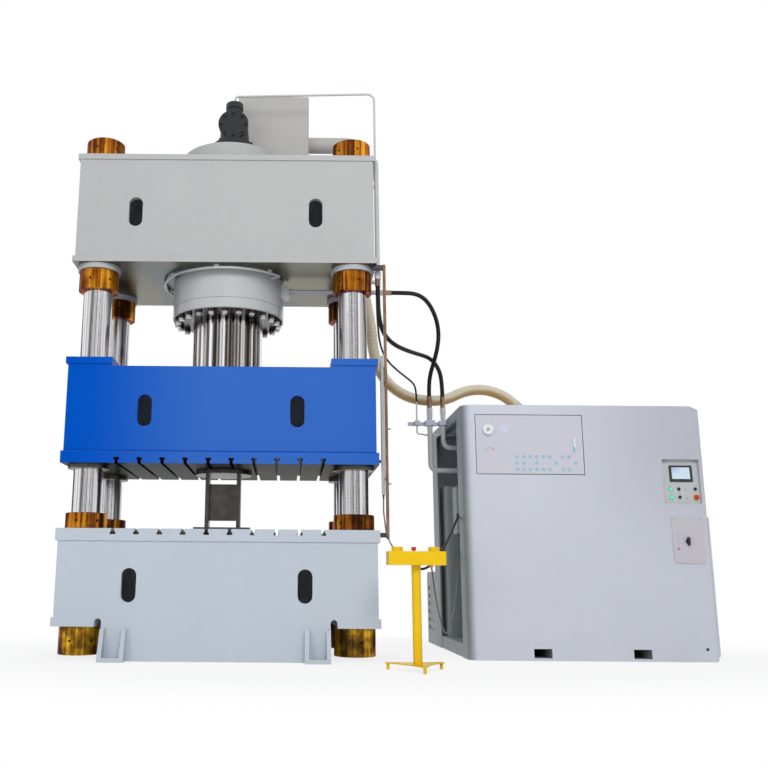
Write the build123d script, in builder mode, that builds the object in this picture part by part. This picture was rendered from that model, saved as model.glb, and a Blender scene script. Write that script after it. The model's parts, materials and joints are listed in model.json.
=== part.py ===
from build123d import *
import os
from math import atan, cos, degrees, radians, sin, tan

# A four-column hydraulic press with its power unit and its two-hand pedestal.
# Millimetres, +Z up, floor at Z 0, the press axis at X 0 and Y 0, the front towards -Y.

os.makedirs("parts", exist_ok=True)

# Press frame
beam_width = 2640
beam_depth = 1300
half_width = beam_width / 2
half_depth = beam_depth / 2
side_lip = 20
front_lip = 12
wall = 50
middle_rib = 50
column_d = 250
column_x = half_width - 200
column_y = half_depth - 200
column_end = 10
bore_clearance = 0.5
thread_clearance = 0.3
nut_d = 340

bed_top = 1040
table_plate = 100
wing_bottom = 263
wing_plate = 70
bed_foot_half = half_width - 405
foot_width = 207
foot_reach = 120
foot_rib = 34
foot_plate = 34
anchor_hole_d = 42

slide_bottom = 1574
slide_top = 2400
slide_plate = 100
corner_height = 74
corner_cap = 57
corner_width = half_width - 925
slide_lift = 500

crosshead_bottom = 3327
crosshead_top = 4335
crosshead_plate = 50

bed_lock_height = 130
bottom_nut_height = 223
top_nut_height = 175
crown_lock_height = 180
boss_d = 370
boss_height = 47

slot_count = 10
slot_pitch = (beam_width - 740) / slot_count
slot_stem = 28
slot_head = 46
slot_head_height = 20
slot_depth = 48

hand_hole_width = 120
hand_hole_height = 270
bed_hole_z = 589
slide_hole_z = 2019
crosshead_hole_z = 3792

# Cylinder
ram_d = 640
ram_foot_d = 820
ram_foot_height = 60
piston_d = 710
piston_height = 200
piston_rest = 3270
running_clearance = 0.1
seat_clearance = 0.05
barrel_d = 860
flange_d = 1020
barrel_top = 4556
barrel_roof = 4200
gland_bottom = 2964
gland_height = 95
gland_spigot = 150
rod_bush_wall = 15
screw_count = 24
screw_ring_d = 930
screw_head_d = 50
screw_head_height = 48
screw_d = 30
cylinder_nut_d = 930

# Guides
guide_bush_d = 300
guide_bush_length = 200
guide_flange_d = 345
guide_flange = 35

# Prefill valve, header tank and pipes
valve_x = 15
valve_flange_d = 392
valve_flange = 40
valve_spool = 102
valve_body_d = 268
valve_axis_z = 4905
valve_port_d = 272
valve_front = -150
valve_rear = 150
valve_neck_d = 154
valve_neck_top = 5185
tank_left = 40
tank_width = 705
tank_front = 200
tank_depth = 450
tank_bottom = 4640
tank_top = 5390
tank_wall = 10
header_pipe_d = 160
header_pipe_wall = 6
header_pipe_x = half_width - 70
header_pipe_y = half_depth + 110
header_pipe_z = 4972
header_pipe_bend = 150
header_pipe_end = 4240
pressure_pipe_d = 42
pressure_pipe_bend = 70
pilot_pipe_d = 20
drain_ring_radius = flange_d / 2 + 82
drain_ring_z = crosshead_bottom - 27
drain_pipe_d = 24

# Position measuring at the press's right
bar_x = half_width + 69.5
bar_y = 70 - half_depth
bar_width = 25
bar_depth = 24
bar_bottom = 972
bar_top = 3336
sensor_x = half_width + 37.5
sensor_width = 29
sensor_depth = 26
sensor_bottom = 1332
sensor_top = 2516

# Support stand under the slide
stand_x = -9
stand_disc_d = 502
stand_disc = 31
stand_base_width = 491
stand_base_depth = 300
stand_base = 41
stand_post = 34
stand_post_x = 138
stand_post_depth = 150
stand_web = 20
stand_web_gap = 64
stand_web_top_gap = 75

# Power unit
cabinet_left = half_width + 760
cabinet_width = 2074
cabinet_front = -300
cabinet_depth = 1660
cabinet_height = 2154
sheet = 8
left_corner = 100
right_corner = 20
left_return = 270
right_return = 100
fascia = 86
bevel_width = 80
bevel_height = 34
skid_radius = 65
side_cover = 20
base_height = 112
fork_width = 150
fork_height = 75
fork_left = 612
fork_pitch = 827
fork_bottom = 21
fork_wall = 8
cabinet_center = cabinet_left + cabinet_width / 2
cabinet_right = cabinet_left + cabinet_width
cabinet_rear = cabinet_front + cabinet_depth

door_left = cabinet_left + 118
door_width = 926
door_bottom = cabinet_height - 605
door_height = 514
door_thickness = 20
door_sheet = 3
door_gap = 6
hinge_pin_d = 8
hinge_inset_x = 6
hinge_inset_y = 7
hinge_engage = 12

console_left = cabinet_right - 359
console_width = 327
console_bottom = cabinet_height - 853
console_height = 389
console_recess = 26
console_tilt = 3.5
console_sheet = 4
breaker_left = cabinet_right - 315
breaker_width = 264
breaker_bottom = cabinet_height - 1353
breaker_height = 383
breaker_plate = 8

riser_y = 500
riser_one_x = cabinet_left - 153
riser_two_x = cabinet_left - 25
riser_pilot_x = cabinet_left - 277
riser_one_d = 50
riser_two_d = 44
riser_pilot_d = 14
riser_one_z = cabinet_height - 489
riser_two_z = cabinet_height - 269
riser_pilot_z = cabinet_height - 137
riser_bend = 65
riser_top = cabinet_height + 116
riser_nut = 31
ferrule_d = 48
ferrule_length = 110
clamp_z = cabinet_height - 8
rail_left = cabinet_left - 358

# Pedestal
post_x = half_width + 206
post_y = -half_depth - 550
post_d = 68
pedestal_width = 425
pedestal_depth = 200
pedestal_height = 100
pedestal_top = 856
guard_d = 84
guard_wall = 8
guard_height = 34
guard_x = 138
star_radius = 248
star_feet = 3
star_turn = -86
star_plate = 10
star_foot = 42

# Cords
hose_d = 40
pilot_hose_d = 18
suction_hose_d = 110
pedestal_cable_d = 20
sensor_cable_d = 12


# Helpers

def pipe_run(points, bend, outer, wall_thickness=0):
    """A bent pipe: straight runs with arcs of one radius, or of a list of radii."""
    with BuildPart() as pipe:
        with BuildLine() as route:
            FilletPolyline(*points, radius=bend)
        with BuildSketch(Plane(origin=route.line @ 0, z_dir=route.line % 0)):
            Circle(outer / 2)
            if wall_thickness:
                Circle(outer / 2 - wall_thickness, mode=Mode.SUBTRACT)
        sweep(path=route.line)
    return pipe.part


def cord_run(name, points, diameter):
    """A cord's tube, with each arc as large as its two runs allow."""
    places = [Vector(*p) for p in points]
    radii = []
    for before, here, after in zip(places, places[1:], places[2:]):
        turn = (here - before).get_angle(after - here)
        shorter = min((here - before).length, (after - here).length)
        radii.append(0.45 * shorter / tan(radians(turn) / 2))
    tube = pipe_run(points, radii, diameter)
    with BuildLine() as route:
        FilletPolyline(*points, radius=radii)
    length = sum(edge.length for edge in route.edges())
    section = 3.14159265 * diameter ** 2 / 4
    share = tube.volume / (section * length)
    smallest = min(radii) / diameter
    print(f"{name}: {length:.0f} mm long, volume share {share:.4f}, smallest radius {smallest:.1f} diameters")
    print("  radii", [round(r) for r in radii])
    return tube


def finish(part, name):
    """Names a finished piece and writes its file."""
    part.label = name
    export_step(part, f"parts/{name}.step")


corners = [(x, y) for x in (-column_x, column_x) for y in (-column_y, column_y)]
body_half_width = half_width - side_lip
body_half_depth = half_depth - front_lip
slot_places = [(i - (slot_count - 1) / 2) * slot_pitch for i in range(slot_count)]
column_bore = column_d / 2 + bore_clearance
nut_bore = column_d / 2 + thread_clearance


# Bed: a welded box on a narrower foot, with wings that the columns pass through
bed_cell_in = 480
bed_cell_out = half_width - 455
bed_hole_x = bed_cell_in + 0.5974 * (bed_cell_out - bed_cell_in)
cell_depth = body_half_depth - wall - middle_rib / 2
cell_y = (cell_depth + middle_rib) / 2
hand_hole_depth = front_lip + wall + 5
foot_x = bed_foot_half - foot_width / 2
notch_width = 56
notch_height = 66

with BuildPart() as bed:
    with BuildSketch(Plane.XY.offset(bed_top - table_plate)):
        Rectangle(beam_width, beam_depth)
    extrude(amount=table_plate)
    with BuildSketch(Plane.XY.offset(wing_bottom)):
        Rectangle(2 * body_half_width, 2 * body_half_depth)
    extrude(amount=bed_top - table_plate - wing_bottom)
    with BuildSketch(Plane.XY.offset(wing_bottom)):
        Rectangle(beam_width, 2 * body_half_depth)
    extrude(amount=wing_plate)
    with BuildSketch():
        Rectangle(2 * bed_foot_half, 2 * body_half_depth)
    extrude(amount=wing_bottom)
    # Feet with two upright ribs each
    for side in (-1, 1):
        with BuildSketch():
            with Locations((side * foot_x, 0)):
                Rectangle(foot_width, 2 * (body_half_depth + foot_reach))
        extrude(amount=foot_plate)
        for edge in (-1, 1):
            rib_x = side * foot_x + edge * (foot_width - foot_rib) / 2
            with BuildSketch(Plane.YZ.offset(rib_x)):
                with BuildLine():
                    Polyline(
                        (-body_half_depth - foot_reach, 0),
                        (-body_half_depth - foot_reach, foot_plate),
                        (-body_half_depth - foot_reach / 3, wing_bottom - 12),
                        (body_half_depth + foot_reach / 3, wing_bottom - 12),
                        (body_half_depth + foot_reach, foot_plate),
                        (body_half_depth + foot_reach, 0),
                        close=True,
                    )
                make_face()
            extrude(amount=foot_rib / 2, both=True)
    # Rib cells behind the hand holes and in the middle
    cell_middle = (bed_cell_in + bed_cell_out) / 2
    with BuildSketch(Plane.XY.offset(foot_plate + wall)):
        with Locations(*[(sx * cell_middle, sy * cell_y) for sx in (-1, 1) for sy in (-1, 1)]):
            Rectangle(bed_cell_out - bed_cell_in, cell_depth)
        Rectangle(2 * (bed_cell_in - wall), 2 * (body_half_depth - wall))
    extrude(amount=bed_top - table_plate - 2 * wall - foot_plate, mode=Mode.SUBTRACT)
    # Round holes through the ribs between the cells
    with BuildSketch(Plane.YZ):
        with Locations((-280, bed_hole_z), (280, bed_hole_z)):
            Circle(110)
    extrude(amount=cell_middle, both=True, mode=Mode.SUBTRACT)
    # Hand holes through the front and rear walls
    for side in (-1, 1):
        with BuildSketch(Plane.XZ.offset(side * half_depth)):
            with Locations((-bed_hole_x, bed_hole_z), (bed_hole_x, bed_hole_z)):
                SlotOverall(hand_hole_height, hand_hole_width, rotation=90)
        extrude(amount=-side * hand_hole_depth, mode=Mode.SUBTRACT)
    # Weld-relief notches beside the foot
    for side in (-1, 1):
        with BuildSketch(Plane.XZ):
            with Locations((side * (bed_foot_half + notch_width / 2), wing_bottom)):
                SlotOverall(2 * notch_height, notch_width, rotation=90)
        extrude(amount=half_depth, both=True, mode=Mode.SUBTRACT)
    # Slots of the table
    with BuildSketch(Plane.XZ):
        with Locations(*[(x, bed_top - slot_depth / 2) for x in slot_places]):
            Rectangle(slot_stem, slot_depth)
        with Locations(*[(x, bed_top - slot_depth + slot_head_height / 2) for x in slot_places]):
            Rectangle(slot_head, slot_head_height)
    extrude(amount=half_depth, both=True, mode=Mode.SUBTRACT)
    # Column bores and anchor holes
    with Locations(*[(x, y, bed_top) for x, y in corners]):
        Hole(column_bore)
    anchor_y = body_half_depth + foot_reach * 0.55
    with Locations(*[(sx * foot_x, sy * anchor_y, foot_plate) for sx in (-1, 1) for sy in (-1, 1)]):
        Hole(anchor_hole_d / 2, depth=foot_plate)
finish(bed.part, "bed")


# Crosshead: a welded box with a round well for the cylinder and a boss round each column
well_radius = barrel_d / 2 + bore_clearance
crosshead_cell_in = barrel_d / 2 + 190
crosshead_cell_out = half_width - 390
crosshead_hole_x = (crosshead_cell_in + crosshead_cell_out) / 2 + 15

with BuildPart() as crosshead:
    with BuildSketch(Plane.XY.offset(crosshead_bottom)):
        Rectangle(beam_width, beam_depth)
    extrude(amount=crosshead_plate)
    with BuildSketch(Plane.XY.offset(crosshead_top - crosshead_plate)):
        Rectangle(beam_width, beam_depth)
    extrude(amount=crosshead_plate)
    with BuildSketch(Plane.XY.offset(crosshead_bottom)):
        Rectangle(2 * body_half_width, 2 * body_half_depth)
    extrude(amount=crosshead_top - crosshead_bottom)
    cell_middle = (crosshead_cell_in + crosshead_cell_out) / 2
    with BuildSketch(Plane.XY.offset(crosshead_bottom + crosshead_plate)):
        with Locations(*[(sx * cell_middle, sy * cell_y) for sx in (-1, 1) for sy in (-1, 1)]):
            Rectangle(crosshead_cell_out - crosshead_cell_in, cell_depth)
    extrude(amount=crosshead_top - crosshead_bottom - 2 * crosshead_plate, mode=Mode.SUBTRACT)
    for side in (-1, 1):
        with BuildSketch(Plane.XZ.offset(side * half_depth)):
            with Locations((-crosshead_hole_x, crosshead_hole_z), (crosshead_hole_x, crosshead_hole_z)):
                SlotOverall(hand_hole_height, hand_hole_width, rotation=90)
        extrude(amount=-side * hand_hole_depth, mode=Mode.SUBTRACT)
    with BuildSketch(Plane.XY.offset(crosshead_bottom - boss_height)):
        with Locations(*corners):
            Circle(boss_d / 2)
    extrude(amount=boss_height)
    with Locations(*[(x, y, crosshead_top) for x, y in corners]):
        Hole(column_bore)
    with Locations((0, 0, crosshead_top)):
        Hole(well_radius)
finish(crosshead.part, "crosshead")


# Columns
column_bottom = wing_bottom - bottom_nut_height + column_end
column_top = crosshead_top + top_nut_height - column_end

with BuildPart() as columns:
    with BuildSketch(Plane.XY.offset(column_bottom)):
        with Locations(*corners):
            Circle(column_d / 2)
    extrude(amount=column_top - column_bottom)
    ends = columns.edges().group_by(Axis.Z)[0] + columns.edges().group_by(Axis.Z)[-1]
    chamfer(ends, length=6)
finish(columns.part, "columns")


# Column nuts: each with a chamfered outer edge
def nut_set(places):
    """Four nuts at each height, from a list of bottom heights and heights."""
    with BuildPart() as nuts:
        for bottom, height in places:
            with BuildSketch(Plane.XY.offset(bottom)):
                with Locations(*corners):
                    Circle(nut_d / 2)
                    Circle(nut_bore, mode=Mode.SUBTRACT)
            extrude(amount=height)
        rims = nuts.edges().filter_by(GeomType.CIRCLE).filter_by(lambda e: e.radius > nut_bore + 1)
        chamfer(rims, length=5)
    return nuts.part


crown_lock_bottom = crosshead_bottom - boss_height - crown_lock_height
upper_column_nuts = nut_set([(crosshead_top, top_nut_height), (crown_lock_bottom, crown_lock_height)])
finish(upper_column_nuts, "upper_column_nuts")
bottom_nut_z = wing_bottom - bottom_nut_height
lower_column_nuts = nut_set([(bed_top, bed_lock_height), (bottom_nut_z, bottom_nut_height)])
finish(lower_column_nuts, "lower_column_nuts")


# Cylinder barrel: a wide lower part that shoulders against the crosshead, and a closed roof
gland_top = gland_bottom + gland_height
piston_bore = piston_d / 2
prefill_port_d = 180

with BuildPart() as cylinder_barrel:
    with BuildSketch(Plane.XZ):
        with BuildLine():
            Polyline(
                (piston_bore, gland_top),
                (flange_d / 2, gland_top),
                (flange_d / 2, crosshead_bottom),
                (barrel_d / 2, crosshead_bottom),
                (barrel_d / 2, barrel_top),
                (prefill_port_d / 2, barrel_top),
                (prefill_port_d / 2, barrel_roof),
                (piston_bore, barrel_roof),
                close=True,
            )
        make_face()
    revolve(axis=Axis.Z)
finish(cylinder_barrel.part, "cylinder_barrel")


# Gland ring with its spigot in the barrel, and through holes for the screws
bush_radius = ram_d / 2 + running_clearance + rod_bush_wall
spigot_radius = piston_bore - running_clearance

with BuildPart() as cylinder_gland:
    with BuildSketch(Plane.XZ):
        with BuildLine():
            Polyline(
                (bush_radius, gland_bottom),
                (flange_d / 2 - 8, gland_bottom),
                (flange_d / 2, gland_bottom + 8),
                (flange_d / 2, gland_top),
                (spigot_radius, gland_top),
                (spigot_radius, gland_top + gland_spigot),
                (bush_radius, gland_top + gland_spigot),
                close=True,
            )
        make_face()
    revolve(axis=Axis.Z)
    with BuildSketch(Plane.XY.offset(gland_bottom)):
        with PolarLocations(screw_ring_d / 2, screw_count):
            Circle(screw_d / 2 + bore_clearance)
    extrude(amount=gland_height, mode=Mode.SUBTRACT)
finish(cylinder_gland.part, "cylinder_gland")

with BuildPart() as gland_screws:
    with BuildSketch(Plane.XY.offset(gland_bottom - screw_head_height)):
        with PolarLocations(screw_ring_d / 2, screw_count):
            Circle(screw_head_d / 2)
    extrude(amount=screw_head_height, taper=-8)
    with BuildSketch(Plane.XY.offset(gland_bottom)):
        with PolarLocations(screw_ring_d / 2, screw_count):
            Circle(screw_d / 2)
    extrude(amount=gland_height - 1)
finish(gland_screws.part, "gland_screws")

with BuildPart() as rod_bush:
    with BuildSketch(Plane.XY.offset(gland_bottom + 2)):
        Circle(bush_radius - seat_clearance)
        Circle(ram_d / 2 + running_clearance, mode=Mode.SUBTRACT)
    extrude(amount=gland_height + gland_spigot - 4)
finish(rod_bush.part, "rod_bush")

with BuildPart() as cylinder_nut:
    with BuildSketch(Plane.XY.offset(crosshead_top)):
        Circle(cylinder_nut_d / 2)
        Circle(barrel_d / 2 + thread_clearance, mode=Mode.SUBTRACT)
    extrude(amount=barrel_top - crosshead_top)
    chamfer(cylinder_nut.edges().group_by(Axis.Z)[-1].sort_by(SortBy.RADIUS)[-1], length=6)
finish(cylinder_nut.part, "cylinder_nut")


# Ram: a foot sunk in the slide, the polished rod and the piston, turned from one forging
with BuildPart() as ram:
    with BuildSketch(Plane.XZ):
        with BuildLine():
            Polyline(
                (0, slide_top - ram_foot_height),
                (ram_foot_d / 2, slide_top - ram_foot_height),
                (ram_foot_d / 2, slide_top),
                (ram_d / 2, slide_top),
                (ram_d / 2, piston_rest),
                (piston_bore - running_clearance, piston_rest),
                (piston_bore - running_clearance, piston_rest + piston_height),
                (0, piston_rest + piston_height),
                close=True,
            )
        make_face()
    revolve(axis=Axis.Z)
finish(ram.part, "ram")


# Slide: a welded box with a slotted underside plate and a capped housing at each corner
slide_cell_in = ram_foot_d / 2 + 40
slide_cell_out = half_width - 450
slide_hole_x = (slide_cell_in + slide_cell_out) / 2 - 20
corner_depth = half_depth - 250
corner_mid_x = half_width - corner_width / 2
corner_mid_y = half_depth - corner_depth / 2
corner_top = slide_top + corner_height
guide_bore = guide_bush_d / 2

with BuildPart() as slide:
    with BuildSketch(Plane.XY.offset(slide_bottom)):
        Rectangle(beam_width, beam_depth)
    extrude(amount=slide_plate)
    with BuildSketch(Plane.XY.offset(slide_bottom)):
        Rectangle(2 * body_half_width, 2 * body_half_depth)
    extrude(amount=slide_top - slide_bottom)
    corner_places = [(sx * corner_mid_x, sy * corner_mid_y) for sx in (-1, 1) for sy in (-1, 1)]
    inner_places = [
        (sx * (corner_mid_x - side_lip / 2), sy * (corner_mid_y - front_lip / 2))
        for sx in (-1, 1)
        for sy in (-1, 1)
    ]
    with BuildSketch(Plane.XY.offset(slide_top)):
        with Locations(*inner_places):
            Rectangle(corner_width - side_lip, corner_depth - front_lip)
    extrude(amount=corner_height - corner_cap)
    with BuildSketch(Plane.XY.offset(corner_top - corner_cap)):
        with Locations(*corner_places):
            Rectangle(corner_width, corner_depth)
    extrude(amount=corner_cap)
    cell_middle = (slide_cell_in + slide_cell_out) / 2
    with BuildSketch(Plane.XY.offset(slide_bottom + slide_plate)):
        with Locations(*[(sx * cell_middle, sy * cell_y) for sx in (-1, 1) for sy in (-1, 1)]):
            Rectangle(slide_cell_out - slide_cell_in, cell_depth)
    extrude(amount=slide_top - slide_bottom - slide_plate - wall, mode=Mode.SUBTRACT)
    for side in (-1, 1):
        with BuildSketch(Plane.XZ.offset(side * half_depth)):
            with Locations((-slide_hole_x, slide_hole_z), (slide_hole_x, slide_hole_z)):
                SlotOverall(hand_hole_height, hand_hole_width, rotation=90)
        extrude(amount=-side * hand_hole_depth, mode=Mode.SUBTRACT)
    with BuildSketch(Plane.XZ):
        with Locations(*[(x, slide_bottom + slot_depth / 2) for x in slot_places]):
            Rectangle(slot_stem, slot_depth)
        with Locations(*[(x, slide_bottom + slot_depth - slot_head_height / 2) for x in slot_places]):
            Rectangle(slot_head, slot_head_height)
    extrude(amount=half_depth, both=True, mode=Mode.SUBTRACT)
    with Locations(*[(x, y, corner_top) for x, y in corners]):
        Hole(guide_bore)
    with BuildSketch(Plane.XY.offset(slide_top - ram_foot_height)):
        Circle(ram_foot_d / 2 + bore_clearance)
    extrude(amount=ram_foot_height, mode=Mode.SUBTRACT)
finish(slide.part, "slide")

with BuildPart() as guide_bushes:
    with BuildSketch(Plane.XY.offset(slide_bottom - guide_flange)):
        with Locations(*corners):
            Circle(guide_flange_d / 2)
    extrude(amount=guide_flange)
    with BuildSketch(Plane.XY.offset(slide_bottom - guide_flange)):
        with Locations(*corners):
            Circle(guide_bore - seat_clearance)
    extrude(amount=guide_flange + guide_bush_length)
    with BuildSketch(Plane.XY.offset(corner_top - guide_bush_length)):
        with Locations(*corners):
            Circle(guide_bore - seat_clearance)
    extrude(amount=guide_bush_length)
    with Locations(*[(x, y, corner_top) for x, y in corners]):
        Hole(column_d / 2 + running_clearance)
finish(guide_bushes.part, "guide_bushes")


# Prefill valve on the barrel's roof: foot flange, spool and body flange, body, cross port with
# bolted covers, and neck
port_flange = 20
valve_bolt = 18
port_bolt = 14
body_flange_top = barrel_top + 2 * valve_flange + valve_spool
with BuildPart() as prefill_valve:
    with BuildSketch(Plane.XY.offset(barrel_top)):
        with Locations((valve_x, 0)):
            Circle(valve_flange_d / 2)
    extrude(amount=valve_flange)
    with BuildSketch(Plane.XY.offset(body_flange_top - valve_flange)):
        with Locations((valve_x, 0)):
            Circle(valve_flange_d / 2)
    extrude(amount=valve_flange)
    with BuildSketch(Plane.XY.offset(barrel_top + valve_flange)):
        with Locations((valve_x, 0)):
            Circle(valve_body_d / 2)
    extrude(amount=valve_axis_z - barrel_top - valve_flange)
    with BuildSketch(Plane.XZ.offset(-valve_rear)):
        with Locations((valve_x, valve_axis_z)):
            Circle(valve_port_d / 2)
    extrude(amount=valve_rear - valve_front)
    with BuildSketch(Plane.XZ.offset(-valve_front - port_flange)):
        with Locations((valve_x, valve_axis_z)):
            Circle(valve_port_d / 2 + 8)
    extrude(amount=port_flange)
    with BuildSketch(Plane.XY.offset(valve_axis_z)):
        with Locations((valve_x, 0)):
            Circle(valve_neck_d / 2)
    extrude(amount=valve_neck_top - valve_axis_z)
    with BuildSketch(Plane.XY.offset(valve_neck_top - 60)):
        with Locations((valve_x, 0)):
            Circle(valve_neck_d / 2 + 7)
    extrude(amount=60)
    fillet(prefill_valve.edges().group_by(Axis.Z)[-1], radius=8)
    with BuildSketch(Plane.XY.offset(body_flange_top)):
        with Locations((valve_x, 0)):
            with PolarLocations(valve_flange_d / 2 - 24, 12, start_angle=15):
                RegularPolygon(valve_bolt, 6)
    extrude(amount=22)
    with BuildSketch(Plane.XZ.offset(-valve_front)):
        with Locations((valve_x, valve_axis_z)):
            with PolarLocations(valve_port_d / 2 - 20, 8):
                RegularPolygon(port_bolt, 6)
    extrude(amount=14)
finish(prefill_valve.part, "prefill_valve")


# Header tank on three legs, with a box on its left that joins it to the valve's rear port
tank_mid_x = tank_left + tank_width / 2
tank_mid_y = tank_front + tank_depth / 2
tank_right = tank_left + tank_width
leg = 70
leg_wall = 8
leg_places = [
    (tank_right - leg, tank_front + leg),
    (tank_right - leg, tank_front + tank_depth - leg),
    (tank_left + leg, tank_front + tank_depth - leg),
]
joining_depth = 300
joining_half = valve_port_d / 2 - 14
joining_left = valve_x - joining_half
joining_width = tank_left + 2 * tank_wall - joining_left

with BuildPart() as header_tank:
    with BuildSketch(Plane.XY.offset(tank_bottom)):
        with Locations((tank_mid_x, tank_mid_y)):
            RectangleRounded(tank_width, tank_depth, 18)
    extrude(amount=tank_top - tank_bottom)
    with BuildSketch(Plane.XZ.offset(-tank_front)):
        with Locations((joining_left + joining_width / 2, valve_axis_z)):
            Rectangle(joining_width, 2 * joining_half)
    extrude(amount=-joining_depth)
    with BuildSketch(Plane.XY.offset(crosshead_top)):
        with Locations(*leg_places):
            Rectangle(leg, leg)
            Rectangle(leg - 2 * leg_wall, leg - 2 * leg_wall, mode=Mode.SUBTRACT)
    extrude(amount=tank_bottom - crosshead_top)
    with BuildSketch(Plane.XZ.offset(-tank_front)):
        with Locations((valve_x, valve_axis_z)):
            Circle(joining_half)
    extrude(amount=tank_front - valve_rear)
    # Inside of the tank and of the joining box, and the tank's way out to the pipe on the right
    with BuildSketch(Plane.XY.offset(tank_bottom + tank_wall)):
        with Locations((tank_mid_x, tank_mid_y)):
            Rectangle(tank_width - 2 * tank_wall, tank_depth - 2 * tank_wall)
    extrude(amount=tank_top - tank_bottom - 2 * tank_wall, mode=Mode.SUBTRACT)
    with BuildSketch(Plane.XZ.offset(-tank_front - tank_wall)):
        with Locations((joining_left + tank_wall + joining_width / 2, valve_axis_z)):
            Rectangle(joining_width, 2 * (joining_half - tank_wall))
    extrude(amount=2 * tank_wall - joining_depth, mode=Mode.SUBTRACT)
    with BuildSketch(Plane.YZ.offset(tank_right - tank_wall)):
        with Locations((tank_mid_y, header_pipe_z)):
            Circle(header_pipe_d / 2 - header_pipe_wall)
    extrude(amount=tank_wall, mode=Mode.SUBTRACT)
finish(header_tank.part, "header_tank")

header_pipe_points = [
    (tank_right, tank_mid_y, header_pipe_z),
    (header_pipe_x, tank_mid_y, header_pipe_z),
    (header_pipe_x, header_pipe_y, header_pipe_z),
    (header_pipe_x, header_pipe_y, header_pipe_end),
]
header_tube = pipe_run(header_pipe_points, header_pipe_bend, header_pipe_d, header_pipe_wall)
with BuildPart() as header_pipe:
    add(header_tube)
    # Reducer that the suction hose sits on
    with BuildSketch(Plane.XY.offset(header_pipe_end)):
        with Locations((header_pipe_x, header_pipe_y)):
            Circle(header_pipe_d / 2)
    extrude(amount=40)
    # Bracket to the crosshead's top plate
    with BuildSketch(Plane.XY.offset(crosshead_top - 40)):
        with Locations((header_pipe_x, (half_depth + header_pipe_y - header_pipe_d / 2) / 2 + 2)):
            Rectangle(90, header_pipe_y - header_pipe_d / 2 - half_depth + 4)
    extrude(amount=30)
finish(header_pipe.part, "header_pipe")


# Upper pressure pipe: from a port block on the barrel's roof, over the crosshead and down its side
upper_block = 110
upper_block_x = 310
upper_block_y = 80
side_pipe_x = half_width + pressure_pipe_d / 2 + 0.3
side_pipe_y = 150 - half_depth
pipe_over_z = crosshead_top + pressure_pipe_d / 2 + 16
upper_port_z = barrel_top + 48
side_pipe_end = 3230
fitting_d = 56
fitting_length = 70

upper_pipe_points = [
    (upper_block_x + upper_block / 2, upper_block_y, upper_port_z),
    (620, upper_block_y, upper_port_z),
    (620, upper_block_y, pipe_over_z),
    (side_pipe_x, upper_block_y, pipe_over_z),
    (side_pipe_x, side_pipe_y, pipe_over_z),
    (side_pipe_x, side_pipe_y, side_pipe_end + fitting_length),
]
upper_tube = pipe_run(upper_pipe_points, pressure_pipe_bend, pressure_pipe_d)
with BuildPart() as upper_pressure_pipe:
    add(upper_tube)
    with BuildSketch(Plane.XY.offset(barrel_top)):
        with Locations((upper_block_x, upper_block_y)):
            RectangleRounded(upper_block, upper_block, 8)
    extrude(amount=96)
    with BuildSketch(Plane.XY.offset(side_pipe_end)):
        with Locations((side_pipe_x, side_pipe_y)):
            RegularPolygon(fitting_d / 2, 6)
    extrude(amount=fitting_length)
finish(upper_pressure_pipe.part, "upper_pressure_pipe")


# Lower pressure pipe: from the port block on the barrel's side to the hose's end
lower_pipe_y = -100
lower_pipe_z = crosshead_bottom - 89
lower_block_z = crosshead_bottom - 101
lower_block_in = flange_d / 2 - 30
lower_block_x = flange_d / 2 + 50
lower_block_height = 130
lower_block_depth = 100
lower_pipe_end = half_width + 120

with BuildPart() as lower_pressure_pipe:
    with BuildSketch(Plane.XY.offset(lower_block_z - lower_block_height / 2)):
        with Locations(((lower_block_x + lower_block_in) / 2, lower_pipe_y)):
            Rectangle(lower_block_x - lower_block_in, lower_block_depth)
        Circle(flange_d / 2, mode=Mode.SUBTRACT)
    extrude(amount=lower_block_height)
    with BuildSketch(Plane.YZ.offset(lower_block_x)):
        with Locations((lower_pipe_y, lower_pipe_z)):
            Circle(pressure_pipe_d / 2)
    extrude(amount=lower_pipe_end - lower_block_x)
    with BuildSketch(Plane.YZ.offset(lower_block_x)):
        with Locations((lower_pipe_y, lower_pipe_z)):
            Circle(fitting_d / 2)
    extrude(amount=30)
    with BuildSketch(Plane.YZ.offset(lower_pipe_end - 60)):
        with Locations((lower_pipe_y, lower_pipe_z)):
            RegularPolygon(fitting_d / 2, 6)
    extrude(amount=60)
finish(lower_pressure_pipe.part, "lower_pressure_pipe")


# Small pipes: the drain ring under the crosshead, and the pilot pipe from the valve's neck
pilot_pipe_y = -60
pilot_pipe_x = half_width + 55
pilot_pipe_top = 5238
pilot_pipe_rise = 38
pilot_pipe_bottom = 3240
pilot_points = [
    (valve_x + 8, pilot_pipe_y, valve_neck_top),
    (valve_x + 8, pilot_pipe_y, pilot_pipe_top),
    (pilot_pipe_x, pilot_pipe_y, pilot_pipe_top + pilot_pipe_rise),
    (pilot_pipe_x, pilot_pipe_y, pilot_pipe_bottom),
]
pilot_tube = pipe_run(pilot_points, [35, 70], pilot_pipe_d)
drain_start = -205
drain_sweep = 168
with BuildPart() as drain_tube:
    with BuildLine() as drain_route:
        CenterArc((0, 0, drain_ring_z), drain_ring_radius, drain_start, drain_sweep)
    with BuildSketch(Plane(origin=drain_route.line @ 0, z_dir=drain_route.line % 0)):
        Circle(drain_pipe_d / 2)
    sweep(path=drain_route.line)

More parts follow.
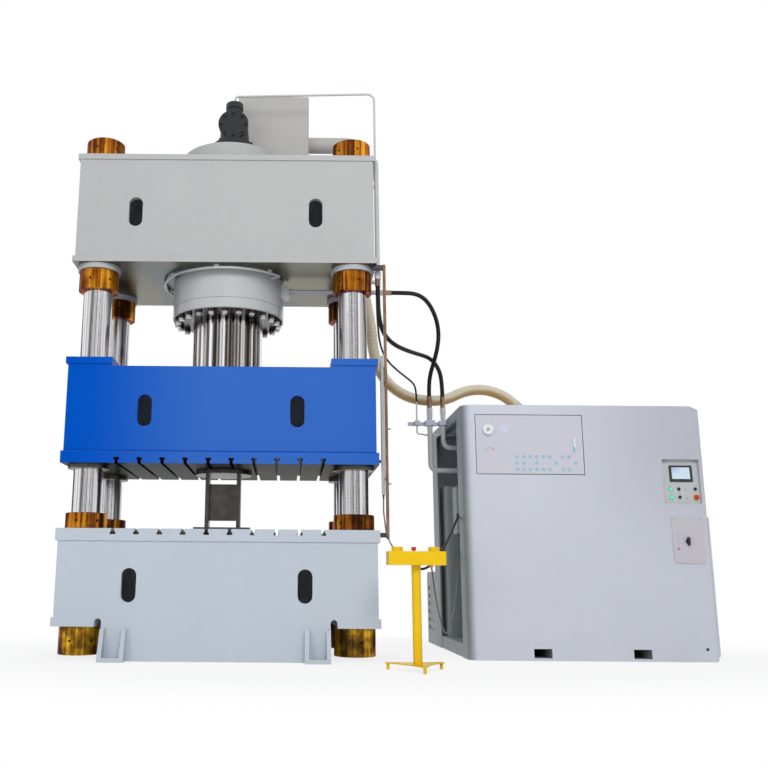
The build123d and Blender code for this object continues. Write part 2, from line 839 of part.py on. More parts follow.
with BuildPart() as small_pipes:
    add(pilot_tube)
    add(drain_tube.part)
    # Radial ends into the barrel, and clips under the crosshead
    for angle in (drain_start, drain_start + drain_sweep):
        outwards = (cos(radians(angle)), sin(radians(angle)), 0)
        with BuildSketch(Plane(origin=(0, 0, drain_ring_z), z_dir=outwards).offset(flange_d / 2 + 0.3)):
            Circle(drain_pipe_d / 2)
        extrude(amount=drain_ring_radius - flange_d / 2 + 4)
    with BuildSketch(Plane.XY.offset(drain_ring_z)):
        with PolarLocations(drain_ring_radius, 4, drain_start + 12, drain_sweep - 24, endpoint=True):
            Rectangle(18, 40)
    extrude(amount=crosshead_bottom - drain_ring_z)
    # Stand-off clips of the pilot pipe on the crosshead's side
    with BuildSketch(Plane.XY.offset(crosshead_top - 44)):
        with Locations(((half_width + pilot_pipe_x) / 2, pilot_pipe_y)):
            Rectangle(pilot_pipe_x - half_width, 30)
    extrude(amount=28)
    with BuildSketch(Plane.XY.offset(crosshead_bottom + 10)):
        with Locations(((half_width + pilot_pipe_x) / 2, pilot_pipe_y)):
            Rectangle(pilot_pipe_x - half_width, 30)
    extrude(amount=28)
finish(small_pipes.part, "small_pipes")


# Hose ferrules: two at the press and two on the risers
lower_hose_start = lower_pipe_end + ferrule_length * 0.6
upper_hose_start = side_pipe_end - ferrule_length * 0.6
hose_end_z = riser_top + ferrule_length
with BuildPart() as hose_ferrules:
    with BuildSketch(Plane.YZ.offset(lower_pipe_end)):
        with Locations((lower_pipe_y, lower_pipe_z)):
            Circle(ferrule_d / 2)
    extrude(amount=lower_hose_start - lower_pipe_end)
    with BuildSketch(Plane.XY.offset(upper_hose_start)):
        with Locations((side_pipe_x, side_pipe_y)):
            Circle(ferrule_d / 2)
    extrude(amount=side_pipe_end - upper_hose_start)
    with BuildSketch(Plane.XY.offset(riser_top)):
        with Locations((riser_one_x, riser_y), (riser_two_x, riser_y)):
            Circle(ferrule_d / 2)
    extrude(amount=ferrule_length)
finish(hose_ferrules.part, "hose_ferrules")


# Upright bar at the press's right, its brackets, strikers and clips
bracket_height = 37
bracket_bottom = bed_top - 55
with BuildPart() as scale_bar:
    with BuildSketch(Plane.XY.offset(bar_bottom)):
        with Locations((bar_x, bar_y)):
            Rectangle(bar_width, bar_depth)
    extrude(amount=bar_top - bar_bottom)
    chamfer(scale_bar.edges().filter_by(Axis.Z), length=2)
finish(scale_bar.part, "scale_bar")

bar_left = bar_x - bar_width / 2
bar_right = bar_x + bar_width / 2
with BuildPart() as scale_brackets:
    with BuildSketch(Plane.XY.offset(crosshead_bottom - bracket_height)):
        with Locations(((bar_left + half_width - 30) / 2, bar_y)):
            Rectangle(bar_left - half_width + 30, 50)
    extrude(amount=bracket_height)
    with BuildSketch(Plane.XY.offset(bracket_bottom)):
        with Locations(((bar_left + half_width) / 2, bar_y)):
            Rectangle(bar_left - half_width, 50)
    extrude(amount=bracket_height)
    for height in (bed_top + 380, bed_top + 840):
        with BuildSketch(Plane.XY.offset(height)):
            with Locations((bar_right + 11, bar_y)):
                Rectangle(22, 20)
        extrude(amount=8)
    for height in (sensor_bottom + 120, sensor_top - 120):
        with BuildSketch(Plane.XY.offset(height)):
            with Locations(((sensor_x + bar_x) / 2, bar_y + bar_depth / 2 + 3)):
                Rectangle(bar_x - sensor_x + 20, 6)
        extrude(amount=24)
finish(scale_brackets.part, "scale_brackets")

with BuildPart() as position_sensor:
    with BuildSketch(Plane.XY.offset(sensor_bottom)):
        with Locations((sensor_x, bar_y - (sensor_depth - bar_depth) / 2)):
            Rectangle(sensor_width, sensor_depth)
    extrude(amount=sensor_top - sensor_bottom)
    chamfer(position_sensor.edges().filter_by(Axis.Z), length=4)
finish(position_sensor.part, "position_sensor")

magnet_z = 1610
with BuildPart() as sensor_magnet:
    with BuildSketch(Plane.YZ.offset(half_width)):
        with Locations((bar_y, magnet_z)):
            Circle(14)
    extrude(amount=sensor_x - sensor_width / 2 - half_width - 4)
finish(sensor_magnet.part, "sensor_magnet")


# Support stand: base plate, two posts, a web and a round head, welded together
stand_top = slide_bottom
post_top = stand_top - stand_disc
web_bottom = bed_top + stand_base + stand_web_gap
web_top = post_top - stand_web_top_gap
with BuildPart() as support_stand:
    with BuildSketch(Plane.XY.offset(bed_top)):
        with Locations((stand_x, 0)):
            Rectangle(stand_base_width, stand_base_depth)
    extrude(amount=stand_base)
    with BuildSketch(Plane.XY.offset(bed_top + stand_base)):
        with Locations((stand_x - stand_post_x, 0), (stand_x + stand_post_x, 0)):
            Rectangle(stand_post, stand_post_depth)
    extrude(amount=post_top - bed_top - stand_base)
    with BuildSketch(Plane.XY.offset(web_bottom)):
        with Locations((stand_x, 0)):
            Rectangle(2 * stand_post_x, stand_web)
    extrude(amount=web_top - web_bottom)
    with BuildSketch(Plane.XY.offset(post_top)):
        with Locations((stand_x, 0)):
            Circle(stand_disc_d / 2)
    extrude(amount=stand_disc)
finish(support_stand.part, "support_stand")


# Cabinet frame: a skid with two fork tubes, corner posts and top rails
post = 60
frame_left = cabinet_left + sheet
frame_right = cabinet_right - sheet
frame_front = cabinet_front + sheet
frame_rear = cabinet_rear - sheet
frame_mid_y = (frame_front + frame_rear) / 2
frame_depth = frame_rear - frame_front
roof_under = cabinet_height - fascia
fork_places = [(cabinet_left + fork_left, 0), (cabinet_left + fork_left + fork_pitch, 0)]
fork_mid_z = fork_bottom + fork_height / 2
post_left = frame_left + left_corner
skid_mid_x = (post_left + frame_right) / 2
floor_sheet = 6
front_post_y = -120
middle_post_x = cabinet_left + 250
middle_post_y = 140
earth_hole_x = cabinet_right - 96
earth_hole_z = 101
earth_hole_d = 27

# Waste at the cabinet's right: above the sloped roof edge, and outside the rounded bottom edge
slope_drop = sheet * (bevel_width ** 2 + bevel_height ** 2) ** 0.5 / bevel_width
round_x = cabinet_right + side_cover - skid_radius
with BuildPart() as corner_waste:
    with BuildSketch(Plane.XZ.offset(-cabinet_rear - 1)):
        with BuildLine():
            Polyline(
                (cabinet_right - bevel_width, cabinet_height),
                (cabinet_right, cabinet_height - bevel_height),
                (cabinet_right + 1, cabinet_height - bevel_height),
                (cabinet_right + 1, cabinet_height + 1),
                (cabinet_right - bevel_width, cabinet_height + 1),
                close=True,
            )
        make_face()
        with Locations((round_x + (skid_radius + 1) / 2, (skid_radius - 1) / 2)):
            Rectangle(skid_radius + 1, skid_radius + 1)
        with Locations((round_x, skid_radius)):
            Circle(skid_radius, mode=Mode.SUBTRACT)
    extrude(amount=cabinet_depth + 2)

with BuildPart() as cabinet_frame:
    with BuildSketch():
        with Locations((skid_mid_x, frame_mid_y)):
            Rectangle(frame_right - post_left, frame_depth)
            Rectangle(frame_right - post_left - 2 * post, frame_depth - 2 * post, mode=Mode.SUBTRACT)
        with Locations((frame_left + left_corner / 2, frame_mid_y + left_corner / 2)):
            Rectangle(left_corner, frame_depth - left_corner)
    extrude(amount=base_height - floor_sheet)
    with BuildSketch(Plane.XY.offset(base_height - floor_sheet)):
        with Locations((skid_mid_x, frame_mid_y)):
            Rectangle(frame_right - post_left, frame_depth)
        with Locations((frame_left + left_corner / 2, frame_mid_y + left_corner / 2)):
            Rectangle(left_corner, frame_depth - left_corner)
    extrude(amount=floor_sheet)
    with BuildSketch(Plane.XZ.offset(-frame_rear)):
        with Locations(*[(x, fork_mid_z) for x, _ in fork_places]):
            Rectangle(fork_width + 2 * fork_wall, fork_height + 2 * fork_wall)
    extrude(amount=frame_depth)
    with BuildSketch(Plane.XZ.offset(-frame_rear)):
        with Locations(*[(x, fork_mid_z) for x, _ in fork_places]):
            Rectangle(fork_width, fork_height)
    extrude(amount=frame_depth, mode=Mode.SUBTRACT)
    with BuildSketch(Plane.XY.offset(base_height)):
        with Locations(
            (post_left + post / 2, front_post_y),
            (frame_right - post / 2, front_post_y),
            (frame_left + post / 2 + 4, frame_rear - post / 2),
            (frame_right - post / 2, frame_rear - post / 2),
            (middle_post_x, middle_post_y),
        ):
            Rectangle(post, post)
    extrude(amount=cabinet_height - sheet - base_height)
    with BuildSketch(Plane.XY.offset(cabinet_height - sheet - post)):
        with Locations((skid_mid_x, middle_post_y)):
            Rectangle(frame_right - post_left, post)
        with Locations((skid_mid_x, frame_rear - post / 2)):
            Rectangle(frame_right - post_left, post)
        with Locations((frame_right - post / 2, frame_mid_y), (post_left + post / 2, frame_mid_y)):
            Rectangle(post, frame_depth - 90)
    extrude(amount=post)
    with BuildSketch(Plane.XZ.offset(-cabinet_front)):
        with Locations((earth_hole_x, earth_hole_z)):
            Circle(earth_hole_d / 2)
    extrude(amount=-40, mode=Mode.SUBTRACT)
    add(corner_waste.part, mode=Mode.SUBTRACT)
    add(corner_waste.part.moved(Location((0, 0, -slope_drop))), mode=Mode.SUBTRACT)
finish(cabinet_frame.part, "cabinet_frame")


# Front panel: one folded sheet with rounded corners and returns, cut for the door and the console
door_mid_x = door_left + door_width / 2
door_mid_z = door_bottom + door_height / 2
console_mid_x = console_left + console_width / 2
console_mid_z = console_bottom + console_height / 2
stiffener_reach = door_gap + hinge_engage + 6

with BuildPart() as front_panel:
    with BuildSketch():
        with BuildLine():
            Polyline(
                (cabinet_left, cabinet_front + left_return),
                (cabinet_left, cabinet_front),
                (cabinet_right, cabinet_front),
                (cabinet_right, cabinet_front + right_return),
                (cabinet_right - sheet, cabinet_front + right_return),
                (cabinet_right - sheet, cabinet_front + sheet),
                (cabinet_left + sheet, cabinet_front + sheet),
                (cabinet_left + sheet, cabinet_front + left_return),
                close=True,
            )
        folded = make_face()
        fillet(folded.vertices().group_by(Axis.Y)[0].sort_by(Axis.X)[0], radius=left_corner)
    extrude(amount=cabinet_height)
    upright = front_panel.edges().filter_by(Axis.Z)
    inner_corner = upright.filter_by_position(Axis.Y, cabinet_front + sheet - 1, cabinet_front + sheet + 1)
    fillet(inner_corner.sort_by(Axis.X)[0], radius=left_corner - sheet)
    upright = front_panel.edges().filter_by(Axis.Z)
    outer_corner = upright.filter_by_position(Axis.Y, cabinet_front - 1, cabinet_front + 1)
    fillet(outer_corner.sort_by(Axis.X)[-1], radius=right_corner)
    # Stiffening frame round the door opening, which holds the hinge pins
    with BuildSketch(Plane.XZ.offset(-cabinet_front - sheet)):
        with Locations((door_mid_x, door_mid_z)):
            Rectangle(door_width + 2 * stiffener_reach, door_height + 2 * stiffener_reach)
    extrude(amount=-door_thickness)
    with BuildSketch(Plane.XZ.offset(-cabinet_front)):
        with Locations((door_mid_x, door_mid_z)):
            Rectangle(door_width + 2 * door_gap, door_height + 2 * door_gap)
        with Locations((console_mid_x, console_mid_z)):
            Rectangle(console_width, console_height)
        with Locations(*[(x, fork_mid_z) for x, _ in fork_places]):
            Rectangle(fork_width, fork_height)
        with Locations((earth_hole_x, earth_hole_z)):
            Circle(earth_hole_d / 2)
    extrude(amount=-60, mode=Mode.SUBTRACT)
    hinge_x = door_left + hinge_inset_x
    hinge_y = cabinet_front + hinge_inset_y
    with BuildSketch(Plane.XY.offset(door_bottom - door_gap - hinge_engage)):
        with Locations((hinge_x, hinge_y)):
            Circle(hinge_pin_d / 2 + seat_clearance)
    extrude(amount=door_height + 2 * door_gap + 2 * hinge_engage, mode=Mode.SUBTRACT)
    add(corner_waste.part, mode=Mode.SUBTRACT)
finish(front_panel.part, "front_panel")


# Place of the oil filler neck
neck_x = cabinet_left + 966
neck_y = 1050
neck_d = 124
neck_wall = 12

# Other panels: roof tray, rear panel with its left return, right side panel and its lower cover
rear_return = 270
side_cover_top = 1190
side_front = cabinet_front + right_return
roof_front = cabinet_front + sheet
left_return_end = cabinet_front + left_return
with BuildPart() as cabinet_panels:
    # Roof with a deep left fascia, notched behind the front panel's rounded corner
    with BuildSketch(Plane.XY.offset(cabinet_height - sheet)):
        with Locations(((cabinet_left + left_corner + frame_right) / 2, (roof_front + frame_rear) / 2)):
            Rectangle(frame_right - cabinet_left - left_corner, frame_rear - roof_front)
        with Locations((cabinet_left + (left_corner + sheet) / 2, (left_return_end + frame_rear) / 2)):
            Rectangle(left_corner + sheet, frame_rear - cabinet_front - left_return)
    extrude(amount=sheet)
    with BuildSketch(Plane.XY.offset(roof_under)):
        with Locations((cabinet_left + sheet / 2, (cabinet_front + left_return + cabinet_rear) / 2)):
            Rectangle(sheet, cabinet_rear - cabinet_front - left_return)
    extrude(amount=fascia)
    # Rear panel
    with BuildSketch():
        with Locations((cabinet_center, cabinet_rear - sheet / 2)):
            Rectangle(cabinet_width, sheet)
        with Locations((cabinet_left + sheet / 2, cabinet_rear - rear_return / 2)):
            Rectangle(sheet, rear_return)
        with Locations((cabinet_right - sheet / 2, (side_front + cabinet_rear) / 2)):
            Rectangle(sheet, cabinet_rear - side_front)
    extrude(amount=cabinet_height)
    # Lower cover that stands proud of the right side
    with BuildSketch(Plane.XY.offset(40)):
        with Locations((cabinet_right + side_cover / 2, (cabinet_front + 24 + cabinet_rear) / 2)):
            Rectangle(side_cover, cabinet_rear - cabinet_front - 24)
    extrude(amount=side_cover_top - 40)
    with BuildSketch(Plane.XZ.offset(-cabinet_rear)):
        with Locations(*[(x, fork_mid_z) for x, _ in fork_places]):
            Rectangle(fork_width, fork_height)
    extrude(amount=sheet, mode=Mode.SUBTRACT)
    # Hole for the oil filler neck
    with BuildSketch(Plane.XY.offset(cabinet_height - sheet)):
        with Locations((neck_x, neck_y)):
            Circle(neck_d / 2 + 3)
    extrude(amount=sheet, mode=Mode.SUBTRACT)
    add(corner_waste.part, mode=Mode.SUBTRACT)
    # Sloping edge strip of the roof
    strip_drop = bevel_height * (bevel_width - sheet) / bevel_width
    with BuildSketch(Plane.XZ.offset(-frame_rear)):
        with BuildLine():
            Polyline(
                (cabinet_right - bevel_width, cabinet_height),
                (cabinet_right - sheet, cabinet_height - strip_drop),
                (cabinet_right - sheet, cabinet_height - strip_drop - slope_drop),
                (cabinet_right - bevel_width, cabinet_height - slope_drop),
                close=True,
            )
        make_face()
    extrude(amount=frame_rear - roof_front)
finish(cabinet_panels.part, "cabinet_panels")


# Oil tank inside the cabinet, with the neck and elbow that the suction hose comes to
oil_left = cabinet_left + 54
oil_right = cabinet_right - 84
oil_front = 900
oil_top = cabinet_height - 594
oil_wall = 6
oil_rear = frame_rear - 70
elbow_bend = 95
elbow_turn = 45
elbow_reach = 150
elbow_corner_z = cabinet_height + 111
elbow_end = (
    neck_x - elbow_reach * sin(radians(elbow_turn)),
    neck_y,
    elbow_corner_z + elbow_reach * cos(radians(elbow_turn)),
)
elbow_points = [(neck_x, neck_y, oil_top - oil_wall), (neck_x, neck_y, elbow_corner_z), elbow_end]
elbow = pipe_run(elbow_points, elbow_bend, neck_d, neck_wall)
with BuildPart() as oil_tank:
    with BuildSketch(Plane.XY.offset(base_height)):
        with Locations(((oil_left + oil_right) / 2, (oil_front + oil_rear) / 2)):
            RectangleRounded(oil_right - oil_left, oil_rear - oil_front, 20)
    extrude(amount=oil_top - base_height)
    with BuildSketch(Plane.XY.offset(base_height + oil_wall)):
        with Locations(((oil_left + oil_right) / 2, (oil_front + oil_rear) / 2)):
            RectangleRounded(oil_right - oil_left - 2 * oil_wall, oil_rear - oil_front - 2 * oil_wall, 14)
    extrude(amount=oil_top - base_height - 2 * oil_wall, mode=Mode.SUBTRACT)
    with BuildSketch(Plane.XY.offset(oil_top - oil_wall)):
        with Locations((neck_x, neck_y)):
            Circle(neck_d / 2 - neck_wall)
    extrude(amount=oil_wall, mode=Mode.SUBTRACT)
    add(elbow)
finish(oil_tank.part, "oil_tank")

# Oil cooler housing behind the cabinet, with louvres on its left end
cooler_width = 900
cooler_depth = 560
cooler_height = 730
with BuildPart() as oil_cooler:
    with BuildSketch(Plane.XY):
        with Locations((cabinet_left + cooler_width / 2, cabinet_rear + cooler_depth / 2)):
            Rectangle(cooler_width, cooler_depth)
    extrude(amount=cooler_height)
    fillet(oil_cooler.edges().filter_by(Axis.X).group_by(Axis.Z)[-1].sort_by(Axis.Y)[-1], radius=60)
    with BuildSketch(Plane.YZ.offset(cabinet_left)):
        with Locations((cabinet_rear + cooler_depth / 2, cooler_height / 2)):
            with GridLocations(1, 80, 1, 6):
                Rectangle(cooler_depth - 160, 40)
    extrude(amount=10, mode=Mode.SUBTRACT)
finish(oil_cooler.part, "oil_cooler")


# Electric motor and pump on the cabinet's floor
motor_d = 480
motor_axis_z = 420
motor_y = 420
motor_left = cabinet_right - 814
motor_right = cabinet_right - 104
with BuildPart() as electric_motor:
    with BuildSketch(Plane.YZ.offset(motor_left)):
        with Locations((motor_y, motor_axis_z)):
            Circle(motor_d / 2)
    extrude(amount=motor_right - motor_left)
    with BuildSketch(Plane.YZ.offset(motor_left + 90)):
        with Locations((motor_y, motor_axis_z)):
            with PolarLocations(motor_d / 2, 20):
                Rectangle(50, 10)
    extrude(amount=motor_right - motor_left - 180)
    with BuildSketch(Plane.YZ.offset(motor_left + 120)):
        with Locations((motor_y, (base_height + motor_axis_z) / 2)):
            Rectangle(380, motor_axis_z - base_height)
    extrude(amount=60)
    with BuildSketch(Plane.YZ.offset(motor_right - 180)):
        with Locations((motor_y, (base_height + motor_axis_z) / 2)):
            Rectangle(380, motor_axis_z - base_height)
    extrude(amount=60)
    with BuildSketch(Plane.XY.offset(motor_axis_z)):
        with Locations(((motor_left + motor_right) / 2, motor_y)):
            RectangleRounded(240, 200, 12)
    extrude(amount=motor_d / 2 + 110)
finish(electric_motor.part, "electric_motor")

pump_length = 520
with BuildPart() as hydraulic_pump:
    with BuildSketch(Plane.YZ.offset(motor_left)):
        with Locations((motor_y, motor_axis_z)):
            Circle(170)
    extrude(amount=-200, taper=8)
    with BuildSketch(Plane.YZ.offset(motor_left - 200)):
        with Locations((motor_y, motor_axis_z)):
            RectangleRounded(230, 230, 40)
    extrude(amount=200 - pump_length)
finish(hydraulic_pump.part, "hydraulic_pump")

# Valve manifold on its stand, where the riser pipes end
manifold_left = cabinet_left + 320
manifold_right = cabinet_left + 720
manifold_bottom = cabinet_height - 594
manifold_top = cabinet_height - 94
manifold_depth = 260
with BuildPart() as valve_manifold:
    with BuildSketch(Plane.XY.offset(manifold_bottom)):
        with Locations(((manifold_left + manifold_right) / 2, riser_y)):
            Rectangle(manifold_right - manifold_left, manifold_depth)
    extrude(amount=manifold_top - manifold_bottom)
    with BuildSketch(Plane.XZ.offset(-riser_y + manifold_depth / 2)):
        with Locations(((manifold_left + manifold_right) / 2, (manifold_bottom + manifold_top) / 2)):
            with GridLocations(190, 160, 2, 3):
                Rectangle(110, 90)
    extrude(amount=120)
    with BuildSketch(Plane.XY.offset(base_height)):
        with Locations(
            (manifold_left + 40, riser_y - 90),
            (manifold_right - 40, riser_y - 90),
            (manifold_left + 40, riser_y + 90),
            (manifold_right - 40, riser_y + 90),
        ):
            Rectangle(50, 50)
    extrude(amount=manifold_bottom - base_height)
finish(valve_manifold.part, "valve_manifold")


# Riser pipes: two pressure pipes and the thin pilot pipe, each down and into the manifold
riser_one = pipe_run(
    [
        (riser_one_x, riser_y, riser_top - 60),
        (riser_one_x, riser_y, riser_one_z),
        (manifold_left, riser_y, riser_one_z),
    ],
    riser_bend,
    riser_one_d,
)
riser_two = pipe_run(
    [
        (riser_two_x, riser_y, riser_top - 60),
        (riser_two_x, riser_y, riser_two_z),
        (manifold_left, riser_y, riser_two_z),
    ],
    riser_bend,
    riser_two_d,
)
pilot_riser_top = riser_top + 60
riser_pilot = pipe_run(
    [
        (riser_pilot_x, riser_y, pilot_riser_top),
        (riser_pilot_x, riser_y, riser_pilot_z),
        (riser_pilot_x + 42, riser_y, riser_pilot_z),
        (riser_pilot_x + 84, riser_y + 60, riser_pilot_z),
        (manifold_left, riser_y + 60, riser_pilot_z),
    ],
    18,
    riser_pilot_d,
)
with BuildPart() as riser_pipes:
    add(riser_one)
    add(riser_two)
    add(riser_pilot)
    with BuildSketch(Plane.XY.offset(riser_top - 100)):
        with Locations((riser_one_x, riser_y)):
            RegularPolygon(riser_one_d / 2 + 4, 6, rotation=30)
        with Locations((riser_two_x, riser_y)):
            RegularPolygon(riser_two_d / 2 + 4, 6, rotation=30)
    extrude(amount=40)
    with BuildSketch(Plane.XY.offset(riser_top - 60)):
        with Locations((riser_one_x, riser_y), (riser_two_x, riser_y)):
            RegularPolygon(riser_nut, 6, rotation=30)
    extrude(amount=60)
finish(riser_pipes.part, "riser_pipes")

# Clamp rail from the cabinet's roof edge, with a block round each riser
rail_height = 36
rail_depth = 20
block_depth = 60
rail_y = riser_y + 44
with BuildPart() as clamp_rail:
    with BuildSketch(Plane.XZ.offset(-rail_y - rail_depth)):
        with Locations(((rail_left + cabinet_left) / 2, clamp_z - 24)):
            Rectangle(cabinet_left - rail_left, rail_height)
    extrude(amount=rail_depth)
    with BuildSketch(Plane.XZ.offset(-rail_y)):
        with Locations((riser_pilot_x, clamp_z - 24)):
            Rectangle(44, 44)
        with Locations((riser_one_x, clamp_z - 24)):
            Rectangle(92, 50)
        with Locations((riser_two_x - 9, clamp_z - 24)):
            Rectangle(68, 44)
    extrude(amount=rail_y - riser_y + 34)
    with BuildSketch(Plane.XY.offset(clamp_z - 80)):
        with Locations((riser_pilot_x, riser_y)):
            Circle(riser_pilot_d / 2 + thread_clearance)
        with Locations((riser_one_x, riser_y)):
            Circle(riser_one_d / 2 + thread_clearance)
        with Locations((riser_two_x, riser_y)):
            Circle(riser_two_d / 2 + thread_clearance)
    extrude(amount=110, mode=Mode.SUBTRACT)
finish(clamp_rail.part, "clamp_rail")

# Terminal box on the middle post, where the two cables end
terminal_left = cabinet_left + 14
terminal_front = 150
terminal_depth = 180
terminal_bottom = 1060
terminal_height = 420
terminal_width = middle_post_x - post / 2 - terminal_left
with BuildPart() as terminal_box:
    with BuildSketch(Plane.XY.offset(terminal_bottom)):
        with Locations((terminal_left + terminal_width / 2, terminal_front + terminal_depth / 2)):
            RectangleRounded(terminal_width, terminal_depth, 4)
    extrude(amount=terminal_height)
finish(terminal_box.part, "terminal_box")


# Console: a slightly tilted panel sunk in the front panel, with a ceiling, a floor, two cheeks and bezels
tilt = radians(console_tilt)
console_depth = console_recess + console_height * tan(tilt)
slope_length = console_height / cos(tilt)
console_plane = Plane(
    origin=(console_mid_x, cabinet_front + console_recess, console_bottom),
    x_dir=(1, 0, 0),
    z_dir=(0, -cos(tilt), sin(tilt)),
)
fit = 0.5
lens_d = 28
bezel_d = 38
bezel_height = 6
bore_gap = 0.3


def on_console(x, z):
    """Place on the tilted panel of a real X and height."""
    return (x - console_mid_x, (z - console_bottom) / cos(tilt))


start_upper_place = on_console(console_left + 74, console_bottom + 129)
start_lower_place = on_console(console_left + 76, console_bottom + 59)
selector_upper_place = on_console(console_left + 143, console_bottom + 130)
selector_lower_place = on_console(console_left + 146, console_bottom + 60)
selector_right_place = on_console(console_left + 285, console_bottom + 131)
stop_place = on_console(console_left + 286, console_bottom + 59)
plug_upper_place = on_console(console_left + 212, console_bottom + 132)
plug_lower_place = on_console(console_left + 211, console_bottom + 63)
knob_stem_d = 12
stop_stem_d = 16
screen_width = 198
screen_height = 143
screen_place = on_console(console_left + 175, console_bottom + 264)
with BuildPart() as control_console:
    with BuildSketch(console_plane):
        with Locations((0, slope_length / 2 + 1)):
            Rectangle(console_width - 2 * fit, slope_length - 4)
    extrude(amount=-console_sheet)
    for side in (-1, 1):
        cheek_x = console_mid_x + side * (console_width / 2 - fit - console_sheet / 2)
        with BuildSketch(Plane.YZ.offset(cheek_x)):
            with BuildLine():
                Polyline(
                    (cabinet_front, console_bottom + fit),
                    (cabinet_front, console_bottom + console_height - fit),
                    (cabinet_front + console_depth, console_bottom + console_height - fit),
                    (cabinet_front + console_recess, console_bottom + fit),
                    close=True,
                )
            make_face()
        extrude(amount=console_sheet / 2, both=True)
    with BuildSketch(Plane.XY.offset(console_bottom + console_height - fit - console_sheet)):
        with Locations((console_mid_x, cabinet_front + (console_depth + console_sheet) / 2)):
            Rectangle(console_width - 2 * fit, console_depth + console_sheet)
    extrude(amount=console_sheet)
    with BuildSketch(Plane.XY.offset(console_bottom + fit)):
        with Locations((console_mid_x, cabinet_front + (console_recess + console_sheet) / 2)):
            Rectangle(console_width - 2 * fit, console_recess + console_sheet)
    extrude(amount=console_sheet)
    with BuildSketch(console_plane):
        with Locations(start_upper_place, start_lower_place, stop_place):
            Circle(bezel_d / 2)
        with Locations(selector_upper_place, selector_lower_place, selector_right_place):
            Circle(bezel_d / 2 - 4)
        with Locations(plug_upper_place, plug_lower_place):
            Circle(bezel_d / 2 - 4)
    extrude(amount=bezel_height)
    with BuildSketch(console_plane.offset(bezel_height)):
        with Locations(plug_upper_place, plug_lower_place):
            Circle(bezel_d / 2 - 8)
    extrude(amount=4)
    with BuildSketch(console_plane.offset(-console_sheet)):
        with Locations(start_upper_place, start_lower_place):
            Circle(lens_d / 2 + bore_gap)
        with Locations(selector_upper_place, selector_lower_place, selector_right_place):
            Circle(knob_stem_d / 2 + bore_gap)
        with Locations(stop_place):
            Circle(stop_stem_d / 2 + bore_gap)
    extrude(amount=console_sheet + bezel_height, mode=Mode.SUBTRACT)
finish(control_console.part, "control_console")

with BuildPart() as touch_screen:
    with BuildSketch(console_plane):
        with Locations(screen_place):
            RectangleRounded(screen_width, screen_height, 6)
    extrude(amount=9)
    with BuildSketch(console_plane.offset(7)):
        with Locations((screen_place[0], screen_place[1] + 4)):
            Rectangle(screen_width - 34, screen_height - 34)
    extrude(amount=2, mode=Mode.SUBTRACT)
finish(touch_screen.part, "touch_screen")


def start_button(place, name):
    """A lit push button: a plunger with a rounded lens."""
    with BuildPart() as button:
        with BuildSketch(console_plane.offset(-12)):
            with Locations(place):
                Circle(lens_d / 2)
        extrude(amount=24)
        fillet(button.faces().sort_by(Axis.Y)[0].edges(), radius=4)
    finish(button.part, name)


start_button(start_upper_place, "start_button_upper")
start_button(start_lower_place, "start_button_lower")


def selector(place, name):
    """A turning selector: a stem, a round base and a grip across it."""
    with BuildPart() as knob:
        with BuildSketch(console_plane.offset(-14)):
            with Locations(place):
                Circle(knob_stem_d / 2)
        extrude(amount=14 + bezel_height + bore_gap)
        with BuildSketch(console_plane.offset(bezel_height + bore_gap)):
            with Locations(place):
                Circle(13)
        extrude(amount=8)
        with BuildSketch(console_plane.offset(bezel_height + bore_gap + 8)):
            with Locations(place):
                SlotOverall(24, 10, rotation=90)
        extrude(amount=10)
    finish(knob.part, name)


selector(selector_upper_place, "selector_upper")
selector(selector_lower_place, "selector_lower")
selector(selector_right_place, "selector_right")

with BuildPart() as panel_stop_button:
    with BuildSketch(console_plane.offset(-14)):
        with Locations(stop_place):
            Circle(stop_stem_d / 2)
    extrude(amount=14 + 14)
    with BuildSketch(console_plane.offset(14)):
        with Locations(stop_place):
            Circle(20)
    extrude(amount=14)
    fillet(panel_stop_button.faces().sort_by(Axis.Y)[0].edges(), radius=5)
finish(panel_stop_button.part, "panel_stop_button")


# Breaker panel on the front, with its handle
handle_x = breaker_left + 126
handle_z = breaker_bottom + 185
with BuildPart() as breaker_panel:
    with BuildSketch(Plane.XZ.offset(-cabinet_front)):
        with Locations((breaker_left + breaker_width / 2, breaker_bottom + breaker_height / 2)):
            RectangleRounded(breaker_width, breaker_height, 6)
    extrude(amount=breaker_plate)
    with BuildSketch(Plane.XZ.offset(-cabinet_front)):
        with Locations((handle_x, handle_z)):
            Circle(8 + bore_gap)
    extrude(amount=breaker_plate, mode=Mode.SUBTRACT)
finish(breaker_panel.part, "breaker_panel")

with BuildPart() as breaker_handle:
    with BuildSketch(Plane.XZ.offset(-cabinet_front + bore_gap)):
        with Locations((handle_x, handle_z)):
            Circle(8)
    extrude(amount=breaker_plate)
    with BuildSketch(Plane.XZ.offset(-cabinet_front + breaker_plate + bore_gap)):
        with Locations((handle_x, handle_z)):
            Circle(20)
    extrude(amount=8)
    with BuildSketch(Plane.XZ.offset(-cabinet_front + breaker_plate + bore_gap + 8)):
        with Locations((handle_x, handle_z)):
            SlotOverall(70, 20, rotation=90)
    extrude(amount=18)
finish(breaker_handle.part, "breaker_handle")


